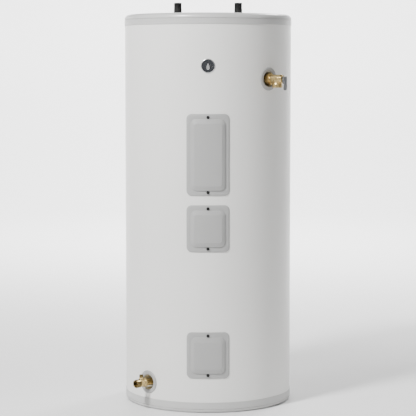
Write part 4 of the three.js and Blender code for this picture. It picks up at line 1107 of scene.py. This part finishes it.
class HEATER_OT_nipples(bpy.types.Operator):
    """Turns the two threaded pipe nipples, their liners and their grommets"""
    bl_idname = "heater.nipples"
    bl_label = "Pipe Nipples"

    def execute(self, context):
        settings = context.scene.heater_pipe
        for side, node in (("hot", "hot_outlet_nipple"), ("cold", "cold_inlet_nipple")):
            low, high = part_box(node)
            spot = shift((low.x + high.x) / 2)
            outer, inner = (high.x - low.x) / 2, (high.x - low.x) / 2 - 3 * MM
            start = high.z - settings.threaded
            tip = 1.2 * MM
            line = [(inner, low.z), (outer - 0.8 * MM, low.z), (outer, low.z + 1 * MM)]
            line += [(outer, start - 1 * MM)]
            line += [(outer, z) for z in ringed(start, high.z - tip, settings.pitch)]
            line += [(outer - tip, high.z), (inner + 0.4 * MM, high.z), (inner, high.z - 0.4 * MM)]
            pipe = spun(node + "_pipe", line, "black_steel", 72)
            pipe = threaded(pipe, "black_steel", settings.pitch, settings.depth, start,
                            high.z + settings.pitch, (outer + inner) / 2)
            put(node + "_pipe", moved(pipe, spot), "black_steel", replaced=[node])

            liner_low, liner_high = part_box(side + "_nipple_liner")
            wide = (liner_high.x - liner_low.x) / 2
            lining = rounded([
                (wide - 1.8 * MM, liner_low.z), (wide, liner_low.z), (wide, liner_high.z, 0.4 * MM),
                (wide - 1.8 * MM, liner_high.z, 0.6 * MM), (wide - 1.8 * MM, liner_low.z)], 4)[:-1]
            tube = moved(spun(side + "_liner", lining, "white_plastic", 64), spot)
            put(side + "_liner", tube, "white_plastic", replaced=[side + "_nipple_liner"])

            ring_low, ring_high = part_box(side + "_grommet")
            wide = (ring_high.x - ring_low.x) / 2
            seat = BODY_HEIGHT - 4 * MM + 0.3 * MM
            bore, neck = outer + 0.3 * MM, wide - 4.3 * MM
            section = rounded([
                (bore, ring_low.z), (neck, ring_low.z, 0.4 * MM), (neck, seat), (wide, seat, 0.3 * MM),
                (wide - 1 * MM, ring_high.z, 1.2 * MM), (bore, ring_high.z, 0.6 * MM),
                (bore, ring_low.z)])[:-1]
            finish = "red_plastic" if side == "hot" else "blue_plastic"
            ring = moved(spun(side + "_ring", section, finish, 64), spot)
            put(side + "_ring", ring, finish, replaced=[side + "_grommet"])
        return {"FINISHED"}


class HEATER_OT_relief_valve(bpy.types.Operator):
    """Casts the relief valve's body and turns its bonnet, stem, spring and lever pin"""
    bl_idname = "heater.relief_valve"
    bl_label = "Relief Valve"

    def execute(self, context):
        settings = context.scene.heater_valve
        place = wall_frame(*RELIEF)
        jacket = JACKET_RADIUS / MM
        outlet_at = shift(z=(jacket + 38) * MM) @ Matrix.Rotation(math.pi / 2, 4, "X")
        shaft = spun("shaft", profile_mm(
            (0, SPUD_END), (SPUD_RADIUS, SPUD_END), (SPUD_RADIUS, 242), (12.6, 243),
            (12.6, jacket + 14.5, 1.5), (14.4, jacket + 18.5, 1.5), (14.4, jacket + 53.5),
            (0, jacket + 53.5)), "brass")
        nut = moved(bar_mesh("nut", hexagon(33 * MM), (jacket - 5.5) * MM, (jacket + 12.5) * MM),
                    Matrix.Rotation(math.pi / 6, 4, "Z"))
        outlet = spun("outlet", profile_mm(
            (0, 1), (14.2, 1), (14.2, 9, 4), (15.6, 15.8, 0.8), (16.5, 16.3, 0.6), (16.5, 28, 0.6), (0, 28)),
            "brass")
        web = [(-2.5 * MM, -16 * MM), (2.5 * MM, -16 * MM), (2.5 * MM, 0), (-2.5 * MM, 0)]
        web = bar_mesh("web", web, (jacket + 12) * MM, (jacket + 30) * MM)
        cast = combine(shaft, [nut, moved(outlet, outlet_at), web], "UNION")
        cast = recast(tidy(cast, 1e-6), settings.cast, 5)
        bore = spun("bore", profile_mm(
            (0, 220), (9, 220), (9, jacket + 23.5), (7, jacket + 24), (7, jacket + 26.5),
            (11.4, jacket + 26.5), (11.4, jacket + 60), (0, jacket + 60)), "brass", 64)
        socket = spun("socket", profile_mm(
            (0, -1), (10.2, -1), (10.2, 16), (12.6, 16), (13.3, 27.0), (14.0, 28.4), (14.0, 40), (0, 40)),
            "brass", 64)
        body = cleaned(cast, [bore, moved(socket, outlet_at)])
        put("relief_body", moved(body, place), "brass", replaced=["relief_valve_body"])

        end = jacket + 63.5
        cap = spun("relief_cap", profile_mm(
            (8.6, jacket + 49.5), (11.1, jacket + 49.5), (11.1, jacket + 53.8), (14.4, jacket + 53.8, 0.6),
            (14.4, jacket + 57.6, 0.8), (12.6, jacket + 58.6, 0.6), (12.6, end - 1.6, 1.2), (9.6, end, 1.2),
            (2.7, end), (2.7, end - 4), (8.6, end - 4)), "machined_brass", 72)
        put("relief_cap", moved(cap, place), "machined_brass", replaced=["relief_bonnet"])

        seat, pin, dome = jacket + 26.8, PIN_STATION / MM, 3.5
        turns = [math.pi * k / 24 for k in range(2, 12)]
        stem = spun("relief_stem_turned", profile_mm(
            (0, 142, 1), (3.5, 142, 2), (3.5, seat), (9.5, seat, 0.4), (9.5, seat + 3, 0.4), (2.4, seat + 3),
            (2.4, pin - 3.6, 1), (3.4, pin - 2.4, 0.8),
            *((dome * math.cos(a), pin + dome * math.sin(a)) for a in turns), (0, pin + dome)),
            "stainless", 56)
        at_pin = shift(z=pin * MM) @ ACROSS
        stem = cleaned(stem, [round_bar(PIVOT_HOLE, 24, -0.01, 0.01, at_pin)], 35)
        put("relief_stem_turned", moved(stem, place), "stainless", "relief_stem_body", ["relief_stem"])

        low, high = (seat + 4.3) * MM, (end - 5.3) * MM
        coil = grown("relief_coil", mesh_of("relief_coil", [], []), "compression_spring", "stainless",
                     turns=5.0, radius=6.4 * MM, wire=1.0 * MM, height=high - low)
        coil = smooth(moved(coil, place @ shift(z=low)))
        spring = put("relief_coil", coil, "stainless", ROOT, ["relief_spring"])
        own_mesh(spring)

        bolt = spun("lever_rivet", profile_mm(
            (0, -7.4), (1.5, -7.4, 0.4), (1.5, 6.6), (2.6, 6.6, 0.3), (2.6, 7.2, 0.6), (0, 7.8)),
            "stainless", 36)
        bolt = moved(bolt, place @ at_pin)
        put("lever_rivet", bolt, "stainless", "relief_stem_body", ["relief_lever_pin"])
        return {"FINISHED"}


class HEATER_OT_relief_lever(bpy.types.Operator):
    """Presses the relief valve's lever: two cheeks with cams and a blade that curls out at its tip"""
    bl_idname = "heater.relief_lever"
    bl_label = "Relief Lever"

    def execute(self, context):
        place = wall_frame(*RELIEF, PIN_STATION)
        # mm: cam's reach when shut and its growth for each radian, blade's height, sheet, cheeks' inner face
        low, rate, front, sheet, inside = 5.0, 3.5 / (math.pi / 2), 3.8, 1.5, 4.8
        cam = []
        for i in range(17):
            angle = math.pi / 2 * i / 16
            reach = low + rate * angle
            cam.append((reach * math.sin(angle) + rate * math.cos(angle),
                        -reach * math.cos(angle) + rate * math.sin(angle)))
        outline = [(-7, -low), *cam, (cam[-1][0], front), (-16, front), (-16, front - 4)]
        side = Matrix.Rotation(-math.pi / 2, 4, "Y")
        cheeks = []
        for start in (-inside - sheet, inside):
            flat = [(z * MM, y * MM) for y, z in outline]
            cheeks.append(moved(bar_mesh("cheek", flat, -(start + sheet) * MM, -start * MM), side))
        path = [(8.3, front), (4, front), (-4, front), (-12, front), (-17, front), (-22, front - 0.1),
                (-27, front - 0.4), (-31, front - 0.8), (-34, front - 1), (-36, front - 1)]
        widths = [6.3, 6.3, 6.3, 6.3, 6.6, 7.4, 7.5, 7.3, 6.4, 4.6]
        points, columns = [], 9
        for lift in (0.0, sheet):
            for (y, z), width in zip(path, widths):
                for k in range(columns):
                    u = -1 + 2 * k / (columns - 1)
                    points.append((u * width * MM, y * MM, (z + lift) * MM))
        rows = len(path)
        under = grid_faces(rows, columns, wrap_columns=False)
        faces = under + [tuple(rows * columns + i for i in f[::-1]) for f in under]
        rim = list(range(columns)) + [r * columns + columns - 1 for r in range(1, rows)]
        rim += [(rows - 1) * columns + k for k in range(columns - 2, -1, -1)]
        rim += [r * columns for r in range(rows - 2, 0, -1)]
        total = rows * columns
        faces += [(a, b, total + b, total + a) for a, b in zip(rim, rim[1:] + rim[:1])]
        blade = tidy(mesh_of("relief_lever_pressed", points, faces))
        joined = tidy(combine(blade, cheeks, "UNION"), 1e-6)
        hole = round_bar(PIVOT_HOLE, 24, -0.012, 0.012, ACROSS)
        lever = tidy(combine(joined, [hole]), 1e-6, False)
        lever = bevelled(lever, "relief_lever_pressed", 0.25 * MM, 50)
        put("relief_lever_pressed", moved(lever, place), "zinc_steel", "relief_lever_body", ["relief_lever"])
        return {"FINISHED"}


class HEATER_OT_drain_valve(bpy.types.Operator):
    """Casts the drain valve's body and turns its hose end, ball, stem and gland nut"""
    bl_idname = "heater.drain_valve"
    bl_label = "Drain Valve"

    def execute(self, context):
        settings = context.scene.heater_valve
        place = wall_frame(*DRAIN)
        jacket = JACKET_RADIUS / MM
        ball_at = shift(z=(jacket + 31.5) * MM)
        up = ball_at @ Matrix.Rotation(-math.pi / 2, 4, "X")
        shaft = spun("shaft", profile_mm(
            (0, SPUD_END), (SPUD_RADIUS, SPUD_END), (SPUD_RADIUS, 242), (11.5, 243),
            (11.5, jacket + 19), (12.6, jacket + 21.5, 2), (12.6, jacket + 38),
            (11.8, jacket + 39.6), (0, jacket + 39.6)), "brass")
        nut = moved(bar_mesh("nut", hexagon(27 * MM), (jacket + 12.5) * MM, (jacket + 20.5) * MM),
                    Matrix.Rotation(math.pi / 6, 4, "Z"))
        boss = spun("boss", profile_mm((0, 0), (8, 0), (8, 15), (0, 15)), "brass", 64)
        cast = combine(shaft, [nut, moved(boss, up)], "UNION")
        cast = recast(tidy(cast, 1e-6), settings.cast, 4)

        start, end = jacket + 39.4, jacket + 57
        pitch, thread = settings.hose_pitch, 13.5
        heights = [z / MM for z in ringed((start + 1.5) * MM, (end - 1.2) * MM, pitch)]
        hose = [(0, start), (thread - 1.4, start), (thread - 1.2, start + 1.2)]
        hose += [(thread, z) for z in heights]
        hose += [(thread - 1.2, end), (0, end)]
        hose = spun("drain_hose_end", [(r * MM, z * MM) for r, z in hose], "aged_brass")
        hose = threaded(hose, "aged_brass", pitch, settings.hose_depth, (start + 1.5) * MM,
                        (end + 1) * MM, 9 * MM)
        flow = spun("flow", profile_mm(
            (0, 220), (6.6, 220), (6.6, end - 9), (9.5, end - 9), (9.5, end - 0.6), (10.2, end + 0.1),
            (10.2, end + 8), (0, end + 8)), "brass", 72)
        ball_room = moved(spun("room", ball_profile(9.7 * MM), "brass", 48), ball_at)
        shaft_room = moved(spun("way", profile_mm((0, 0), (3.1, 0), (3.1, 30), (0, 30)), "brass", 32), up)
        hose = cleaned(hose, [flow.copy()])
        body = cleaned(cast, [flow, ball_room, shaft_room])
        put("drain_body", moved(body, place), "brass", replaced=["drain_valve_body"])
        put("drain_hose_end", moved(hose, place), "aged_brass")

        ball = spun("drain_ball", ball_profile(9.4 * MM), "stainless", 48)
        across = round_bar(6.6 * MM, 48, -0.02, 0.02, ACROSS)
        slot = moved(bar_mesh("slot", oblong(0.02, 1.6 * MM), 6.9 * MM, 20 * MM),
                     Matrix.Rotation(-math.pi / 2, 4, "X"))
        ball = moved(cleaned(ball, [across, slot]), place @ ball_at)
        put("drain_ball", ball, "stainless", "drain_stem_body", ["drain_valve_ball"])

        top = 28.6
        knob = spun("drain_knob", profile_mm(
            (0, 9.7), (2.8, 9.7), (2.8, 19.6), (6.0, 19.6, 0.4), (6.5, 20.2), (6.5, top - 0.8, 0.6),
            (5.6, top, 0.4), (0, top)), "aged_brass", 64)
        tang = bar_mesh("tang", oblong(2.2 * MM, 1.3 * MM), 7.2 * MM, 10 * MM)
        notch = bar_mesh("notch", oblong(0.01, 0.9 * MM), (top - 1.6) * MM, (top + 2) * MM)
        knob = cleaned(tidy(combine(knob, [tang], "UNION"), 1e-7), [notch], 35)
        knob = moved(knob, place @ up)
        put("drain_knob", knob, "aged_brass", "drain_stem_body", ["drain_valve_stem"])

        nut = bar_mesh("gland", hexagon(13 * MM), 15.3 * MM, 19.3 * MM)
        chamfer = spun("chamfer", profile_mm(
            (0, 15), (6.9, 15), (7.4, 15.6), (7.4, 18.8), (6.7, 19.3), (0, 19.3)), "machined_brass", 64)
        nut = combine(nut, [chamfer], "INTERSECT")
        bore = bar_mesh("bore", circle(3.1 * MM, 32), 10 * MM, 25 * MM)
        nut = moved(cleaned(nut, [bore], 30), place @ up)
        put("gland_nut_turned", nut, "machined_brass", replaced=["drain_gland_nut"])
        return {"FINISHED"}


class HEATER_OT_lid_fittings(bpy.types.Operator):
    """Makes the junction cover, its screw, the ground screw and the anode's cap on the lid"""
    bl_idname = "heater.lid_fittings"
    bl_label = "Lid Fittings"

    def execute(self, context):
        low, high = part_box("junction_cover")
        centre = (low + high) / 2
        outline = [(x + centre.x, y + centre.y) for x, y in
                   rounded_box((high.x - low.x) / 2, (high.y - low.y) / 2, 4 * MM, 6, 1, 1)]
        plate_top, seat = high.z - 0.6 * MM, 16 * MM
        knockout_at = shift(16 * MM, centre.y)
        plate = bar_mesh("junction_plate", outline, low.z, plate_top)
        raised = spun("seat", [
            (0, low.z), (seat, low.z), (seat, plate_top), (seat - 0.5 * MM, high.z), (0, high.z)],
            "pan_paint", 72)
        plate = combine(plate, [moved(raised, knockout_at)], "UNION")
        spot = middle("junction_cover_screw")
        through = (low.z - 0.01, high.z + 0.01)
        tools = [round_bar(11 * MM, 56, *through, knockout_at),
                 round_bar(SCREW_HOLE, 24, *through, shift(spot.x, spot.y))]
        plate = bevelled(tidy(combine(plate, tools), 1e-7, False), "junction_plate", 0.3 * MM, 60)
        put("junction_plate", plate, "pan_paint", replaced=["junction_cover"])

        for node, finish, below in (
            ("junction_cover_screw", "zinc_steel", 7 * MM), ("ground_screw", "green_steel", 8 * MM),
        ):
            bottom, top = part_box(node)
            spot = (bottom + top) / 2
            made = screws(node + "_set", [(0, 0, 0)], finish, 1.6 * MM, below)
            made.transform(Matrix.Rotation(-math.pi / 2, 4, "X"))
            made.transform(shift(spot.x, spot.y, bottom.z + below))
            put(node + "_set", smooth(tidy(made, 1e-7), 30), finish, replaced=[node])

        low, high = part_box("anode_cap")
        wide = (high.x - low.x) / 2
        seat = BODY_HEIGHT - 3.7 * MM
        cap = rounded([
            (0, seat), (wide - 5.3 * MM, seat), (wide - 5.3 * MM, low.z), (wide - 3.3 * MM, low.z, 0.4 * MM),
            (wide - 3.3 * MM, seat), (wide, seat, 0.3 * MM), (wide - 1 * MM, high.z, 1.2 * MM), (0, high.z)])
        cap = moved(spun("anode_cap_moulding", cap, "white_plastic", 72),
                    shift((low.x + high.x) / 2, (low.y + high.y) / 2))
        put("anode_cap_moulding", cap, "white_plastic", replaced=["anode_cap"])
        return {"FINISHED"}


class HEATER_OT_inner_parts(bpy.types.Operator):
    """Gives the tank, foam, elements, thermostats and wiring inside their finishes"""
    bl_idname = "heater.inner_parts"
    bl_label = "Inner Parts"

    def execute(self, context):
        slots = {part["node"]: part["material_slot"] for part in frame["record"]["subparts"]}
        for name, node in frame["nodes"].items():
            if node.hide_render:
                continue
            node.data.materials.clear()
            node.data.materials.append(FINISHES[slots[name]])
        return {"FINISHED"}


OPERATORS = (
    HEATER_OT_stage, HEATER_OT_jacket, HEATER_OT_lid, HEATER_OT_pan, HEATER_OT_covers, HEATER_OT_screws,
    HEATER_OT_badge, HEATER_OT_trim_rings, HEATER_OT_nipples, HEATER_OT_relief_valve, HEATER_OT_relief_lever,
    HEATER_OT_drain_valve, HEATER_OT_lid_fittings, HEATER_OT_inner_parts)
SETTINGS = {
    "heater_shell": HeaterShellSettings, "heater_cover": HeaterCoverSettings,
    "heater_trim": HeaterTrimSettings, "heater_pipe": HeaterPipeSettings,
    "heater_valve": HeaterValveSettings, "heater_stage": HeaterStageSettings}


class HEATER_PT_pieces(bpy.types.Panel):
    """Lists the heater's pieces and their sizes"""
    bl_idname = "HEATER_PT_pieces"
    bl_label = "Water Heater"
    bl_space_type = "VIEW_3D"
    bl_region_type = "UI"
    bl_category = "Heater"

    def draw(self, context):
        for operator in OPERATORS:
            self.layout.operator(operator.bl_idname)
        for name in SETTINGS:
            box = self.layout.box()
            group = getattr(context.scene, name)
            for key in group.__annotations__:
                box.prop(group, key)


def register():
    for settings in SETTINGS.values():
        bpy.utils.register_class(settings)
    for name, settings in SETTINGS.items():
        setattr(bpy.types.Scene, name, bpy.props.PointerProperty(type=settings))
    for item in (*OPERATORS, HEATER_PT_pieces):
        bpy.utils.register_class(item)


def unregister():
    for item in (HEATER_PT_pieces, *reversed(OPERATORS)):
        bpy.utils.unregister_class(item)
    for name, settings in SETTINGS.items():
        delattr(bpy.types.Scene, name)
        bpy.utils.unregister_class(settings)


def main():
    register()
    make_finishes(bpy.context.scene)
    for maker in (turned_tree, thread_tree, spring_tree, screw_tree):
        tree = maker()
        TREES[tree.name] = tree
    for operator in OPERATORS:
        group, name = operator.bl_idname.split(".")
        getattr(getattr(bpy.ops, group), name)()


if __name__ == "__main__":
    main()
